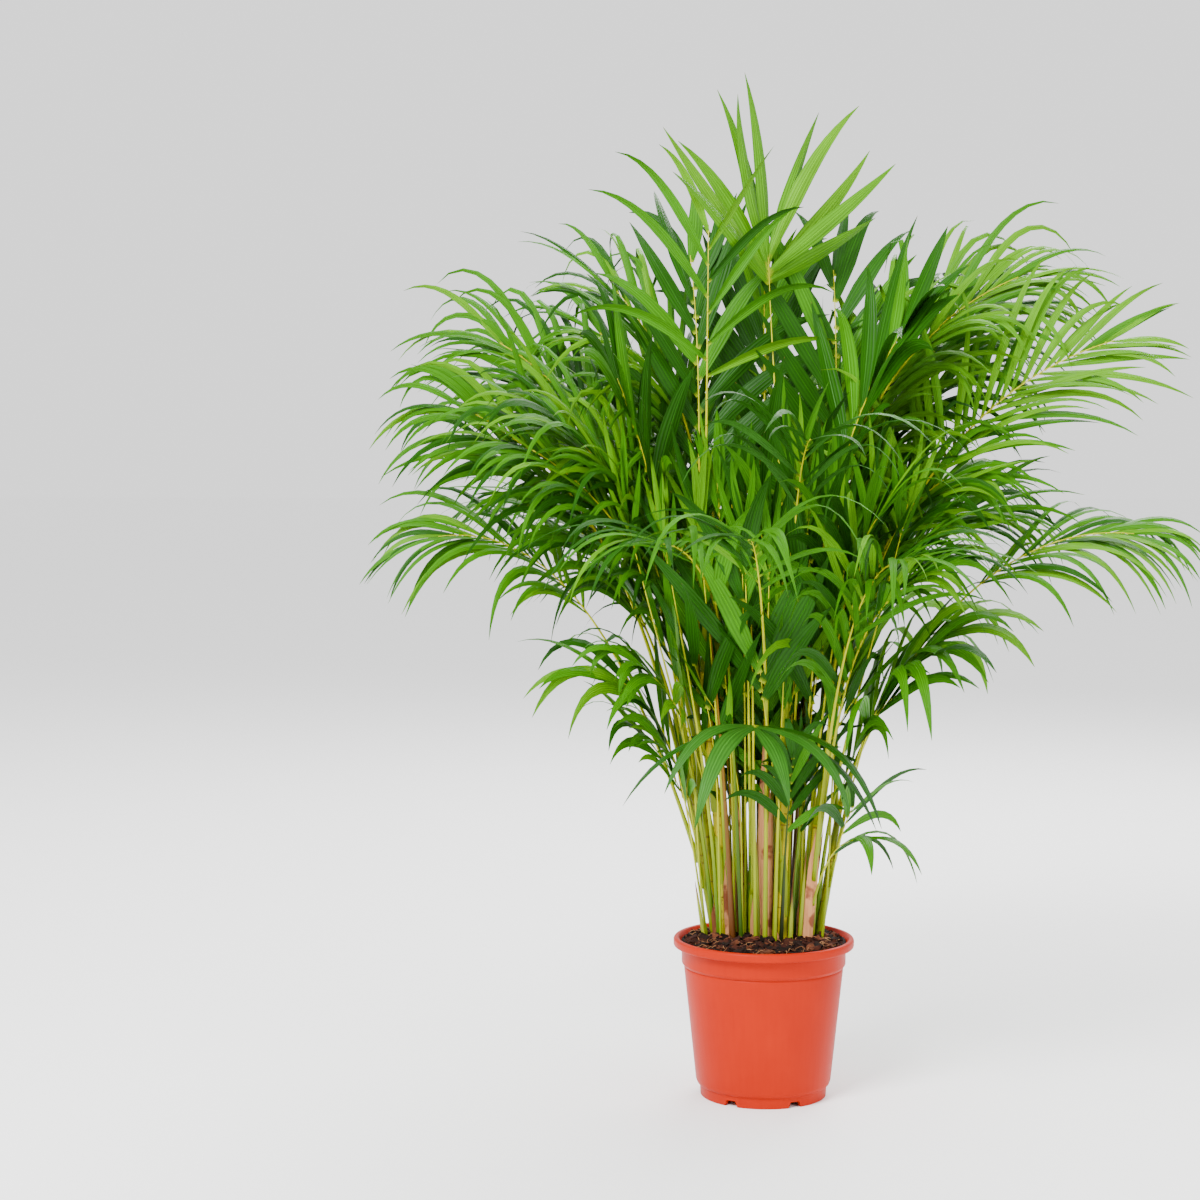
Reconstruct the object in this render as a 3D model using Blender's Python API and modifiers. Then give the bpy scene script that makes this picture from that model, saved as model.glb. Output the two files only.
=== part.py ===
# Potted areca palm: a clump of canes and feather fronds in a plastic nursery pot.
# Metres, +Z up. The pot stands on the XY plane, centred on the Z axis, and its front faces -Y.

import math
import random

import bmesh
import bpy
from mathutils import Matrix, Vector
from mathutils.bvhtree import BVHTree
from mathutils.geometry import interpolate_bezier

MM = 0.001
UP = Vector((0.0, 0.0, 1.0))

# The clearance between neighbours that touch on the real plant
GAP = 0.3 * MM

# Nursery pot
POT_HEIGHT = 158 * MM
POT_WALL = 1.6 * MM
POT_SIDES = 40
RIM_RADIUS = 89.5 * MM
RIM_DEPTH = 9 * MM
BAND_RADIUS = 81.5 * MM
BAND_DEPTH = 19 * MM
BAND_STEP = 2.4 * MM
WALL_FOOT_RADIUS = 67 * MM
RING_RADIUS = 62.5 * MM
RING_HEIGHT = 11 * MM
LEDGE_DEPTH = 5 * MM
FLOOR_THICKNESS = 6 * MM
CHANNEL_HEIGHT = 4 * MM
CHANNEL_INNER_RADIUS = 31 * MM
RING_THICKNESS = 5 * MM
NOTCHES = 6
NOTCH_WIDTH = 14 * MM
NOTCH_HEIGHT = 6 * MM
DRAIN_RADIUS = 4.5 * MM
DRAIN_CIRCLE = 45 * MM

# Potting soil
SOIL_TOP = 148 * MM

# Canes: foot in mm, the direction and angle of the lean in degrees, height of the tip above the
# floor in mm, and the radius in mm at the foot above its flare
CANES = {
    "front_left": {"foot": (-36, 14), "way": 180, "lean": 5.0, "tip": 420, "radius": 5.6},
    "left": {"foot": (-48, 24), "way": 178, "lean": 9.0, "tip": 300, "radius": 3.8},
    "inner_left": {"foot": (-22, 22), "way": 180, "lean": 2.5, "tip": 400, "radius": 4.2},
    "centre_left": {"foot": (-11, 6), "way": 185, "lean": 0.8, "tip": 350, "radius": 3.8},
    "centre": {"foot": (3, 0), "way": 150, "lean": 0.8, "tip": 310, "radius": 4.6},
    "front_right": {"foot": (18, -6), "way": 20, "lean": 0.8, "tip": 430, "radius": 5.4},
    "inner_right": {"foot": (30, 16), "way": 10, "lean": 3.0, "tip": 390, "radius": 4.2},
    "right": {"foot": (42, 2), "way": 355, "lean": 4.5, "tip": 270, "radius": 4.4},
    "far_right": {"foot": (54, 20), "way": 5, "lean": 9.0, "tip": 290, "radius": 3.6},
    "back_left": {"foot": (-46, 50), "way": 145, "lean": 8.0, "tip": 330, "radius": 4.2},
    "back_inner_left": {"foot": (-25, 44), "way": 112, "lean": 5.0, "tip": 410, "radius": 4.6},
    "back_centre": {"foot": (-3, 36), "way": 92, "lean": 3.0, "tip": 430, "radius": 4.2},
    "back_inner_right": {"foot": (18, 44), "way": 70, "lean": 5.0, "tip": 390, "radius": 4.6},
    "back_right": {"foot": (42, 46), "way": 40, "lean": 8.0, "tip": 340, "radius": 4.0},
}
CANE_TAPER = 0.78
FLARE_HEIGHT = 14 * MM
FLARE = 1.45
CANE_STEPS = 4

# Kinds of frond: the share of the rib that is bare, leaflets on a side, leaflet length and width
# in mm, the length of the first and the last leaflets as shares of that, the angles that those
# make with the rib, how far the two sides rise out of the flat, how limp the leaflets are, the
# radius of the stalk's foot in mm, and the shares of a leaflet at which a drooping one bends
KINDS = {
    "arching": {"bare": 0.40, "pairs": 10, "leaf": 192, "broad": 11, "first": 0.75, "last": 0.6,
                "wide": 42, "close": 16, "vee": 16, "limp": 2.1, "stalk": 2.6,
                "bends": (0.375, 0.75)},
    "feather": {"bare": 0.42, "pairs": 12, "leaf": 170, "broad": 11, "first": 0.8, "last": 0.45,
                "wide": 50, "close": 16, "vee": 14, "limp": 0.8, "stalk": 2.8},
    "dark": {"bare": 0.46, "pairs": 8, "leaf": 170, "broad": 16, "first": 0.8, "last": 0.6,
             "wide": 44, "close": 18, "vee": 16, "limp": 0.35, "stalk": 2.8},
    "upright": {"bare": 0.62, "pairs": 6, "leaf": 165, "broad": 13, "first": 1.0, "last": 0.55,
                "wide": 62, "close": 26, "vee": 10, "limp": 0.5, "stalk": 2.8},
    "fan": {"bare": 0.86, "pairs": 5, "leaf": 190, "broad": 19, "first": 1.0, "last": 0.95,
            "wide": 58, "close": 8, "vee": 4, "limp": 0.1, "stalk": 2.8},
    "hand": {"bare": 0.93, "pairs": 3, "leaf": 140, "broad": 16, "first": 1.0, "last": 0.85,
             "wide": 78, "close": 18, "vee": 4, "limp": 3.0, "stalk": 1.8},
    "young": {"bare": 0.55, "pairs": 4, "leaf": 100, "broad": 11, "first": 0.8, "last": 0.7,
              "wide": 44, "close": 20, "vee": 8, "limp": 1.0, "stalk": 1.6},
    "spear": {"bare": 0.90, "pairs": 2, "leaf": 110, "broad": 14, "first": 1.0, "last": 0.9,
              "wide": 16, "close": 6, "vee": 6, "limp": 0.0, "stalk": 2.2},
}

# Fronds: the cane that carries each, how high it leaves the cane, where its rib ends (all mm),
# the rib's angle from the vertical at its foot and at its tip, and the roll that turns its face
FRONDS = {
    "top_fan": {"kind": "fan", "cane": "front_right", "height": None, "tip": (2, 30, 830),
                "lean": 2, "bow": 4},
    "top_spear": {"kind": "spear", "cane": "centre", "height": None, "tip": (-2, 70, 800),
                  "lean": 1, "bow": 2},
    "left_centre_upright": {"kind": "upright", "cane": "front_left", "height": None,
                            "tip": (-56, -25, 858), "lean": 3, "bow": 6, "roll": 10},
    "right_centre_dark": {"kind": "dark", "cane": "inner_right", "height": None,
                          "tip": (136, -60, 764), "lean": 4, "bow": 40, "roll": 55},
    "left_centre_dark": {"kind": "dark", "cane": "left", "height": None,
                         "tip": (-143, -50, 709), "lean": 8, "bow": 30, "roll": -55},
    "right_big_feather": {"kind": "feather", "cane": "right", "height": None,
                          "tip": (336, -10, 746), "lean": 5, "bow": 74, "roll": 62},
    "right_upper_arch": {"kind": "arching", "cane": "back_inner_right", "height": None,
                         "tip": (250, 60, 812), "lean": 8, "bow": 68, "roll": 50},
    "right_upper_inner": {"kind": "arching", "cane": "back_inner_right", "height": 330,
                          "tip": (170, 20, 760), "lean": 8, "bow": 50, "roll": 55},
    "right_middle": {"kind": "arching", "cane": "back_right", "height": None,
                     "tip": (193, 60, 571), "lean": 14, "bow": 70, "roll": 40},
    "right_low_arch": {"kind": "arching", "cane": "far_right", "height": None,
                       "tip": (353, -35, 560), "lean": 18, "bow": 96, "roll": 40, "wide": 34,
                       "close": 12, "leaf": 155, "limp": 2.9, "vee": 6, "bare": 0.56, "pairs": 8,
                       "split": True},
    "right_low_broad": {"kind": "young", "cane": "far_right", "height": 235, "leaf": 180,
                        "tip": (150, -65, 440), "lean": 14, "bow": 66, "broad": 15, "wide": 46,
                        "close": 16, "bare": 0.45, "first": 1.0, "limp": 2.4, "roll": 40},
    "right_front_broad": {"kind": "arching", "cane": "right", "height": 240,
                          "tip": (135, -120, 515), "lean": 12, "bow": 70, "pairs": 7, "broad": 14,
                          "roll": 20},
    "left_upper_arch": {"kind": "arching", "cane": "back_left", "height": None,
                        "tip": (-268, 55, 748), "lean": 12, "bow": 60, "roll": -50},
    "left_upper_back": {"kind": "arching", "cane": "back_inner_left", "height": 350,
                        "tip": (-150, 60, 800), "lean": 8, "bow": 40, "roll": -45},
    "left_middle_arch": {"kind": "arching", "cane": "left", "height": 260,
                         "tip": (-292, -45, 680), "lean": 12, "bow": 66, "roll": -60},
    "left_inner_arch": {"kind": "arching", "cane": "front_left", "height": 330,
                        "tip": (-222, -80, 640), "lean": 10, "bow": 62, "roll": -45},
    "left_middle_low": {"kind": "arching", "cane": "back_left", "height": 280,
                        "tip": (-185, 40, 600), "lean": 14, "bow": 62, "roll": -40},
    "left_low_arch": {"kind": "arching", "cane": "left", "height": 225,
                      "tip": (-318, -45, 556), "lean": 18, "bow": 98, "roll": -40, "wide": 38,
                      "close": 14, "leaf": 165, "limp": 2.9, "vee": 8, "bare": 0.54, "pairs": 8,
                      "split": True},
    "left_low_front": {"kind": "young", "cane": "front_left", "height": 250, "leaf": 120,
                       "tip": (-118, -60, 430), "lean": 12, "bow": 60, "broad": 11, "limp": 1.8,
                       "roll": -30},
    "front_hand": {"kind": "hand", "cane": "centre_left", "height": 200, "tip": (-9, -80, 376),
                   "lean": 4, "bow": 100},
    "front_dark_vee": {"kind": "young", "cane": "front_right", "height": 235, "leaf": 150,
                       "tip": (-5, -60, 440), "lean": 4, "bow": 8, "broad": 20, "bare": 0.76,
                       "pairs": 2, "wide": 40, "close": 26, "limp": 0.15},
    "front_left_droop": {"kind": "arching", "cane": "inner_left", "height": None,
                         "tip": (-95, -185, 555), "lean": 8, "bow": 88, "bare": 0.58,
                         "pairs": 7},
    "front_right_droop": {"kind": "arching", "cane": "front_right", "height": 350,
                          "tip": (40, -205, 650), "lean": 8, "bow": 84, "bare": 0.58,
                          "pairs": 7},
    "front_right_low": {"kind": "arching", "cane": "right", "height": 215,
                        "tip": (125, -190, 540), "lean": 12, "bow": 88, "bare": 0.56,
                        "pairs": 7},
    "front_arch": {"kind": "arching", "cane": "centre", "height": 270, "tip": (-15, -235, 560),
                   "lean": 12, "bow": 94, "bare": 0.6, "pairs": 7, "split": True},
    "right_small_upper": {"kind": "young", "cane": "far_right", "height": 205,
                          "tip": (88, -15, 292), "lean": 18, "bow": 40, "wide": 52,
                          "limp": 1.6},
    "right_small_lower": {"kind": "young", "cane": "right", "height": 190, "leaf": 112,
                          "tip": (86, -45, 262), "lean": 18, "bow": 78, "wide": 36,
                          "limp": 3.0},
    "left_small": {"kind": "young", "cane": "left", "height": 200, "tip": (-100, -5, 345),
                   "lean": 14, "bow": 50, "roll": -30},
}

# The fronds at the back fill the crown all round: tiers of reach, height and angle
BACK_TIERS = (
    {"kind": "arching", "count": 5, "reach": 265, "rise": 575, "bow": 84, "first": 42, "last": 150},
    {"kind": "feather", "count": 5, "reach": 210, "rise": 700, "bow": 66, "first": 35, "last": 145},
    {"kind": "dark", "count": 3, "reach": 110, "rise": 800, "bow": 35, "first": 50, "last": 135},
)
BACK_SEED = 7
BACK_CENTRE = 30
BACK_TURN_SPREAD = 6
BACK_REACH_SPREAD = (0.9, 1.08)
BACK_RISE_SPREAD = 40
BACK_LEAN_ADDED = (3, 7)
BACK_BELOW_TIP = 25
BACK_SPACING = 35

# How far towards a frond's tip its cane is looked for, and what a cane's earlier frond costs it
CANE_REACH = 0.3
CANE_CROWDING = 25

# Ribs: the curve's handles as shares of its span, and how far a try may turn a rib round its
# cane, tilt it and slide it along the cane where it meets a neighbour
RIB_TIP_RADIUS = 1.3 * MM
STALK_STEPS = 4
CURVE_POINTS = 97
FOOT_HANDLE = 0.42
TIP_HANDLE = 0.32
RIB_TRIES = 160
RIB_TURN = 100
RIB_TILT = (-4, 10)
RIB_SLIDE = 45 * MM

# Leaflets: where most of them bend, how much narrower a later bend is, the place on the rib of
# the longest, how late they droop, how much each differs, and how far a try may turn, lift and
# shorten one that meets a neighbour
LEAF_THICKNESS = 1.9 * MM
LEAF_BENDS = (0.5,)
LEAF_TAPER = 0.45
LEAF_PEAK = 0.4
LEAF_DROOP = 2.0
LEAF_STEPS = 8
LEAF_ANGLE_SPREAD = 4
LEAF_RISE_SPREAD = 7
LEAF_LENGTH_SPREAD = (0.93, 1.05)
LEAF_LIMP_SPREAD = (0.8, 1.2)
LEAF_TRIES = 10
LEAF_TURN = (-14, 10)
LEAF_LIFT = 26
LEAF_SHORTEN = 0.3
LEAF_CROWDING = 0.15

COLOURS = {
    "pot": (0.71, 0.13, 0.05, 1.0),
    "soil": (0.045, 0.026, 0.015, 1.0),
    "cane": (0.42, 0.40, 0.06, 1.0),
    "frond": (0.07, 0.23, 0.02, 1.0),
    "new_frond": (0.20, 0.42, 0.02, 1.0),
}


def clear_scene():
    for thing in list(bpy.data.objects):
        bpy.data.objects.remove(thing, do_unlink=True)


def new_collection(name):
    group = bpy.data.collections.new(name)
    bpy.context.scene.collection.children.link(group)
    return group


def make_material(name, colour, roughness):
    material = bpy.data.materials.new(name)
    material.use_nodes = True
    surface = material.node_tree.nodes["Principled BSDF"]
    surface.inputs["Base Color"].default_value = colour
    surface.inputs["Roughness"].default_value = roughness
    surface.inputs["Metallic"].default_value = 0.0
    return material


def add_object(name, data, group, material):
    thing = bpy.data.objects.new(name, data)
    thing.data.materials.append(material)
    group.objects.link(thing)
    return thing


def turned_solid(name, profile, sides, group, material):
    """A closed solid of revolution from a profile that starts and ends on the axis."""
    mesh = bpy.data.meshes.new(name)
    bm = bmesh.new()
    corners = [bm.verts.new((radius, 0.0, height)) for radius, height in profile]
    for first, second in zip(corners, corners[1:]):
        bm.edges.new((first, second))
    bm.to_mesh(mesh)
    bm.free()
    thing = add_object(name, mesh, group, material)
    screw = thing.modifiers.new("Turn", "SCREW")
    screw.steps = sides
    screw.render_steps = sides
    screw.use_merge_vertices = True
    screw.merge_threshold = 0.00005
    return thing


def pot_sizes():
    """Outer radii and heights that the pot and the soil share."""
    band_foot = POT_HEIGHT - RIM_DEPTH - BAND_DEPTH
    wall_top = BAND_RADIUS - BAND_STEP
    return band_foot, wall_top


def wall_radius(height):
    """The outer radius of the tapered wall under the band."""
    band_foot, wall_top = pot_sizes()
    share = (height - RING_HEIGHT - LEDGE_DEPTH) / (band_foot - RING_HEIGHT - LEDGE_DEPTH)
    return WALL_FOOT_RADIUS + (wall_top - WALL_FOOT_RADIUS) * share


def make_pot(group, cutters):
    band_foot, wall_top = pot_sizes()
    lip = RIM_DEPTH / 3
    ledge_top = RING_HEIGHT + LEDGE_DEPTH
    ring_inner = RING_RADIUS - RING_THICKNESS
    profile = [
        (0.0, FLOOR_THICKNESS),
        (RING_RADIUS - POT_WALL - lip, FLOOR_THICKNESS),
        (RING_RADIUS - POT_WALL, RING_HEIGHT),
        (wall_radius(ledge_top) - POT_WALL, ledge_top + POT_WALL),
        (wall_top - POT_WALL, band_foot),
        (BAND_RADIUS - POT_WALL, band_foot + BAND_STEP),
        (BAND_RADIUS - POT_WALL, POT_HEIGHT - RIM_DEPTH),
        (BAND_RADIUS + POT_WALL, POT_HEIGHT - lip),
        (BAND_RADIUS + 2 * POT_WALL, POT_HEIGHT),
        (RIM_RADIUS - lip / 2, POT_HEIGHT),
        (RIM_RADIUS, POT_HEIGHT - lip / 2),
        (RIM_RADIUS, POT_HEIGHT - RIM_DEPTH + lip / 3),
        (RIM_RADIUS - lip / 3, POT_HEIGHT - RIM_DEPTH),
        (BAND_RADIUS, POT_HEIGHT - RIM_DEPTH),
        (BAND_RADIUS, band_foot + BAND_STEP / 2),
        (wall_top, band_foot - BAND_STEP / 2),
        (WALL_FOOT_RADIUS, ledge_top),
        (WALL_FOOT_RADIUS - POT_WALL / 2, RING_HEIGHT + POT_WALL),
        (RING_RADIUS, RING_HEIGHT),
        (RING_RADIUS, 0.0),
        (ring_inner, 0.0),
        (ring_inner, CHANNEL_HEIGHT),
        (CHANNEL_INNER_RADIUS, CHANNEL_HEIGHT),
        (CHANNEL_INNER_RADIUS - POT_WALL, 0.0),
        (0.0, 0.0),
    ]
    material = make_material("terracotta plastic", COLOURS["pot"], 0.35)
    pot = turned_solid("pot", profile, POT_SIDES, group, material)
    for number in range(NOTCHES):
        turn = Matrix.Rotation(math.radians(360 / NOTCHES * number), 4, "Z")
        add_notch_cutter(number, turn, cutters)
        add_drain_cutter(number, turn, cutters)
    cut = pot.modifiers.new("Notches and drains", "BOOLEAN")
    cut.operation = "DIFFERENCE"
    cut.operand_type = "COLLECTION"
    cut.collection = cutters
    return pot


def add_notch_cutter(number, turn, cutters):
    """A box with slanted sides, through the foot ring."""
    mesh = bpy.data.meshes.new(f"notch {number}")
    bm = bmesh.new()
    bmesh.ops.create_cube(bm, size=1.0)
    for corner in bm.verts:
        slant = 0.7 if corner.co.z > 0 else 1.3
        corner.co.y *= NOTCH_WIDTH * slant
        corner.co.x *= RING_THICKNESS * 2
        corner.co.z *= NOTCH_HEIGHT * 2
    bm.to_mesh(mesh)
    bm.free()
    cutter = bpy.data.objects.new(mesh.name, mesh)
    middle = Vector((RING_RADIUS - RING_THICKNESS / 4, 0.0, 0.0))
    cutter.matrix_world = turn @ Matrix.Translation(middle)
    cutters.objects.link(cutter)


def add_drain_cutter(number, turn, cutters):
    mesh = bpy.data.meshes.new(f"drain {number}")
    bm = bmesh.new()
    bmesh.ops.create_cone(bm, cap_ends=True, segments=10, radius1=DRAIN_RADIUS,
                          radius2=DRAIN_RADIUS, depth=FLOOR_THICKNESS * 4)
    bm.to_mesh(mesh)
    bm.free()
    cutter = bpy.data.objects.new(mesh.name, mesh)
    cutter.matrix_world = turn @ Matrix.Translation((DRAIN_CIRCLE, 0.0, 0.0))
    cutters.objects.link(cutter)


def make_soil(group):
    band_foot, wall_top = pot_sizes()
    ledge_top = RING_HEIGHT + LEDGE_DEPTH
    inset = POT_WALL + 2 * GAP
    profile = [
        (0.0, SOIL_TOP),
        (BAND_RADIUS - inset - GAP, SOIL_TOP),
        (BAND_RADIUS - inset, SOIL_TOP - 2 * MM),
        (BAND_RADIUS - inset, band_foot + BAND_STEP + GAP),
        (wall_top - inset, band_foot),
        (wall_radius(ledge_top) - inset, ledge_top + POT_WALL),
        (RING_RADIUS - inset, RING_HEIGHT + GAP),
        (RING_RADIUS - inset - RIM_DEPTH / 3, FLOOR_THICKNESS + GAP),
        (0.0, FLOOR_THICKNESS + GAP),
    ]
    material = make_material("potting soil", COLOURS["soil"], 0.95)
    return turned_solid("soil", profile, POT_SIDES, group, material)


def cane_line(cane):
    """The foot of a cane on the soil, its direction and its length."""
    lean = math.radians(cane["lean"])
    way = math.radians(cane["way"])
    heading = Vector((math.sin(lean) * math.cos(way), math.sin(lean) * math.sin(way),
                      math.cos(lean)))
    foot = Vector((cane["foot"][0] * MM, cane["foot"][1] * MM, SOIL_TOP + GAP))
    length = (cane["tip"] * MM - foot.z) / heading.z
    return foot, heading, length


def cane_at(cane, height):
    """The centre and the radius of a cane at a height above the floor."""
    foot, heading, length = cane_line(cane)
    share = (height - foot.z) / heading.z / length
    radius = cane["radius"] * MM * (1.0 - (1.0 - CANE_TAPER) * share)
    return foot + heading * share * length, radius


def make_cane(name, cane, group, material):
    """A tapering tube with a flared foot that is cut flat on the soil."""
    foot, heading, length = cane_line(cane)
    radius = cane["radius"] * MM
    rows = [(foot, radius * FLARE), (foot + UP * FLARE_HEIGHT * 0.35, radius * (FLARE + 1) / 2)]
    for step in range(CANE_STEPS + 1):
        share = FLARE_HEIGHT / length + (1 - FLARE_HEIGHT / length) * step / CANE_STEPS
        rows.append((foot + heading * length * share, radius * (1 - (1 - CANE_TAPER) * share)))
    curve = bpy.data.curves.new(name, "CURVE")
    curve.dimensions = "3D"
    curve.bevel_depth = 1.0
    curve.bevel_resolution = 2
    curve.use_fill_caps = True
    spline = curve.splines.new("POLY")
    spline.points.add(len(rows) - 1)
    for point, (place, size) in zip(spline.points, rows):
        point.co = (*place, 1.0)
        point.radius = size
    tube = bpy.data.objects.new(name, curve)
    group.objects.link(tube)
    bpy.context.view_layer.update()
    mesh = bpy.data.meshes.new_from_object(tube.evaluated_get(bpy.context.evaluated_depsgraph_get()))
    bpy.data.objects.remove(tube, do_unlink=True)
    bm = bmesh.new()
    bm.from_mesh(mesh)
    bmesh.ops.remove_doubles(bm, verts=bm.verts, dist=0.00001)
    bm.to_mesh(mesh)
    tree = BVHTree.FromBMesh(bm)
    bm.free()
    mesh.name = name
    mesh.materials.clear()
    add_object(name, mesh, group, material)
    return tree


def heading_of(way, angle):
    """A direction that leans from the vertical towards a level direction."""
    return way * math.sin(angle) + UP * math.cos(angle)


def level_way(start, end):
    return Vector((end.x - start.x, end.y - start.y, 0.0)).normalized()


def rib_curve(frond, shift):
    """Places along a frond's rib, from its cane to its tip, and its sideways direction."""
    turn, tilt, slide = shift
    cane = CANES[frond["cane"]]
    tip = Vector(frond["tip"]) * MM
    if frond["height"] is None:
        centre, radius = cane_at(cane, cane["tip"] * MM)
        foot = centre + cane_line(cane)[1] * GAP
        clear = 0.0
    else:
        foot, radius = cane_at(cane, frond["height"] * MM + slide)
        clear = radius + GAP + frond["stalk"] * MM * 0.5
    way = Matrix.Rotation(math.radians(turn), 3, "Z") @ level_way(foot, tip)
    foot = foot + way * clear
    way_out = level_way(foot, tip)
    start = heading_of(way, math.radians(frond["lean"] + tilt))
    end = heading_of(way_out, math.radians(frond["bow"]))
    span = (tip - foot).length
    places = interpolate_bezier(foot, foot + start * span * FOOT_HANDLE,
                                tip - end * span * TIP_HANDLE, tip, CURVE_POINTS)
    return places, way_out.cross(UP)


def rib_frame(frond, places, across, share):
    """The place, direction, sideways and upper directions of a rib at a share of its length."""
    spot = share * (len(places) - 1)
    index = min(int(spot), len(places) - 2)
    place = places[index].lerp(places[index + 1], spot - index)
    before = places[max(index - 1, 0)]
    after = places[min(index + 2, len(places) - 1)]
    along = (after - before).normalized()
    side = (across - along * across.dot(along)).normalized()
    upper = side.cross(along)
    roll = Matrix.Rotation(math.radians(frond.get("roll", 0)), 3, along)
    return place, along, roll @ side, roll @ upper


def rib_ring(frond, places, across, share):
    """The three corners of the rib's cross-section: two upper edges and the keel."""
    place, along, side, upper = rib_frame(frond, places, across, share)
    size = frond["stalk"] * MM * (1 - share) + RIB_TIP_RADIUS * share
    return [place + side * size + upper * size * 0.5, place - side * size + upper * size * 0.5,
            place - upper * size * 0.9]


def stalk_shares(frond):
    return [frond["bare"] * step / STALK_STEPS for step in range(STALK_STEPS + 1)]


def blade_shares(frond):
    """A ring of the rib at each edge of each leaflet."""
    rings = frond["pairs"] * 2
    return [frond["bare"] + (1 - frond["bare"]) * step / rings for step in range(rings + 1)]


def push_face(bm, face, places):
    """Extrude one face and put its corners where they belong."""
    new = bmesh.ops.extrude_discrete_faces(bm, faces=[face])["faces"][0]
    for corner, place in zip(new.verts, places):
        corner.co = place
    return new


def flank(cap, side):
    """The rod's side face that runs down from one edge of its end face."""
    edge_corner, keel = cap.verts[0 if side > 0 else 1], cap.verts[2]
    for edge in cap.edges:
        if edge_corner in edge.verts and keel in edge.verts:
            return next(face for face in edge.link_faces if face is not cap)


def make_rod(frond, curve, shares):
    """A three-sided rod along the rib, with the side faces that leaflets may grow from."""
    places, across = curve
    bm = bmesh.new()
    corners = [bm.verts.new(place) for place in rib_ring(frond, places, across, shares[0])]
    cap = bm.faces.new(corners)
    flanks = []
    for number, share in enumerate(shares[1:]):
        cap = push_face(bm, cap, rib_ring(frond, places, across, share))
        flanks.append(flank(cap, 1 if number % 2 else -1))
    bm.faces.new(list(reversed(corners)))
    return bm, flanks


def touches(tree, others):
    return any(tree.overlap(other) for other in others)


def find_curve(frond, placed):
    """The rib's curve, turned, tilted or slid a little where it meets a neighbour."""
    rng = random.Random(frond["name"])
    shares = stalk_shares(frond) + blade_shares(frond)[1:]
    for attempt in range(RIB_TRIES):
        reach = attempt / RIB_TRIES
        shift = (rng.uniform(-RIB_TURN, RIB_TURN) * reach, rng.uniform(*RIB_TILT) * reach,
                 rng.uniform(-RIB_SLIDE, RIB_SLIDE) * reach)
        curve = rib_curve(frond, shift)
        bm = make_rod(frond, curve, shares)[0]
        tree = BVHTree.FromBMesh(bm)
        bm.free()
        if not touches(tree, placed):
            return curve
    return None


def leaf_line(frond, frame, side, place_share, change, rng):
    """The middle line of a leaflet: each place with the leaflet's width and face directions."""
    place, along, across, upper = frame
    turn, lift, scale = change
    angle = frond["wide"] + (frond["close"] - frond["wide"]) * place_share + turn
    angle = math.radians(angle + rng.uniform(-LEAF_ANGLE_SPREAD, LEAF_ANGLE_SPREAD))
    rise = frond["vee"] + lift + rng.uniform(-LEAF_RISE_SPREAD, LEAF_RISE_SPREAD)
    rise = math.radians(rise)
    outward = across * side * math.cos(rise) + upper * math.sin(rise)
    heading = along * math.cos(angle) + outward * math.sin(angle)
    if place_share < LEAF_PEAK:
        fullness = 1 - (1 - frond["first"]) * (1 - place_share / LEAF_PEAK) ** 2
    else:
        beyond = (place_share - LEAF_PEAK) / (1 - LEAF_PEAK)
        fullness = 1 - (1 - frond["last"]) * beyond ** 2
    length = frond["leaf"] * MM * fullness * rng.uniform(*LEAF_LENGTH_SPREAD) * scale
    limp = frond["limp"] * rng.uniform(*LEAF_LIMP_SPREAD)
    width = (along - heading * along.dot(heading)).normalized()
    turned = 1 if width.cross(heading).dot(upper) > 0 else -1
    line = [(place.copy(), width.copy(), width.cross(heading) * turned)]
    spot = place.copy()
    for step in range(LEAF_STEPS):
        droop = limp * ((step + 0.5) / LEAF_STEPS) ** LEAF_DROOP
        way = (heading - UP * droop).normalized()
        width = (width - way * width.dot(way)).normalized()
        spot = spot + way * length / LEAF_STEPS
        line.append((spot.copy(), width.copy(), width.cross(way) * turned))
    return line, fullness


def leaf_shape(frond, line, fullness):
    """The place, half width and half thickness at each bend of a leaflet, and its tip."""
    bends = frond.get("bends", LEAF_BENDS)
    shape = []
    for number, bend in enumerate(bends):
        place, width, face = line[round(bend * LEAF_STEPS)]
        half = frond["broad"] * MM / 2 * (0.7 + 0.3 * fullness)
        half *= 1 - LEAF_TAPER * number / len(bends)
        shape.append((place, width * half, face * LEAF_THICKNESS / 2))
    return shape, line[-1][0]


def leaf_rings(face, frame, shape, room):
    """The corners of the rib's side face, and those of each bend that they lead to."""
    place, along, across, upper = frame
    centre = face.calc_center_median()
    ways = []
    for corner in face.verts:
        offset = corner.co - centre
        ways.append((1 if offset.dot(along) > 0 else -1, 1 if offset.dot(upper) > 0 else -1))
    first, half, thick = shape[0]
    rings = [[corner.co + (half.normalized() * far + thick.normalized() * over) * room
              for corner, (far, over) in zip(face.verts, ways)]]
    for middle, half, thick in shape:
        wide = half * (1 + room / half.length)
        deep = thick * (1 + room / thick.length)
        rings.append([middle + wide * far + deep * over for far, over in ways])
    return rings


def leaf_tree(rings, tip, start):
    """A search tree round a leaflet, from a share of the way to its first bend."""
    foot = [root + (end - root) * start for root, end in zip(rings[0], rings[1])]
    places = foot + [place for ring in rings[1:] for place in ring] + [tip]
    faces = [(0, 1, 2, 3)]
    for corner in range(4):
        following = (corner + 1) % 4
        for ring in range(0, len(places) - 5, 4):
            faces.append((corner + ring, following + ring, following + ring + 4,
                          corner + ring + 4))
        last = len(places) - 5
        faces.append((corner + last, following + last, len(places) - 1))
    return BVHTree.FromPolygons(places, faces)


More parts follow.
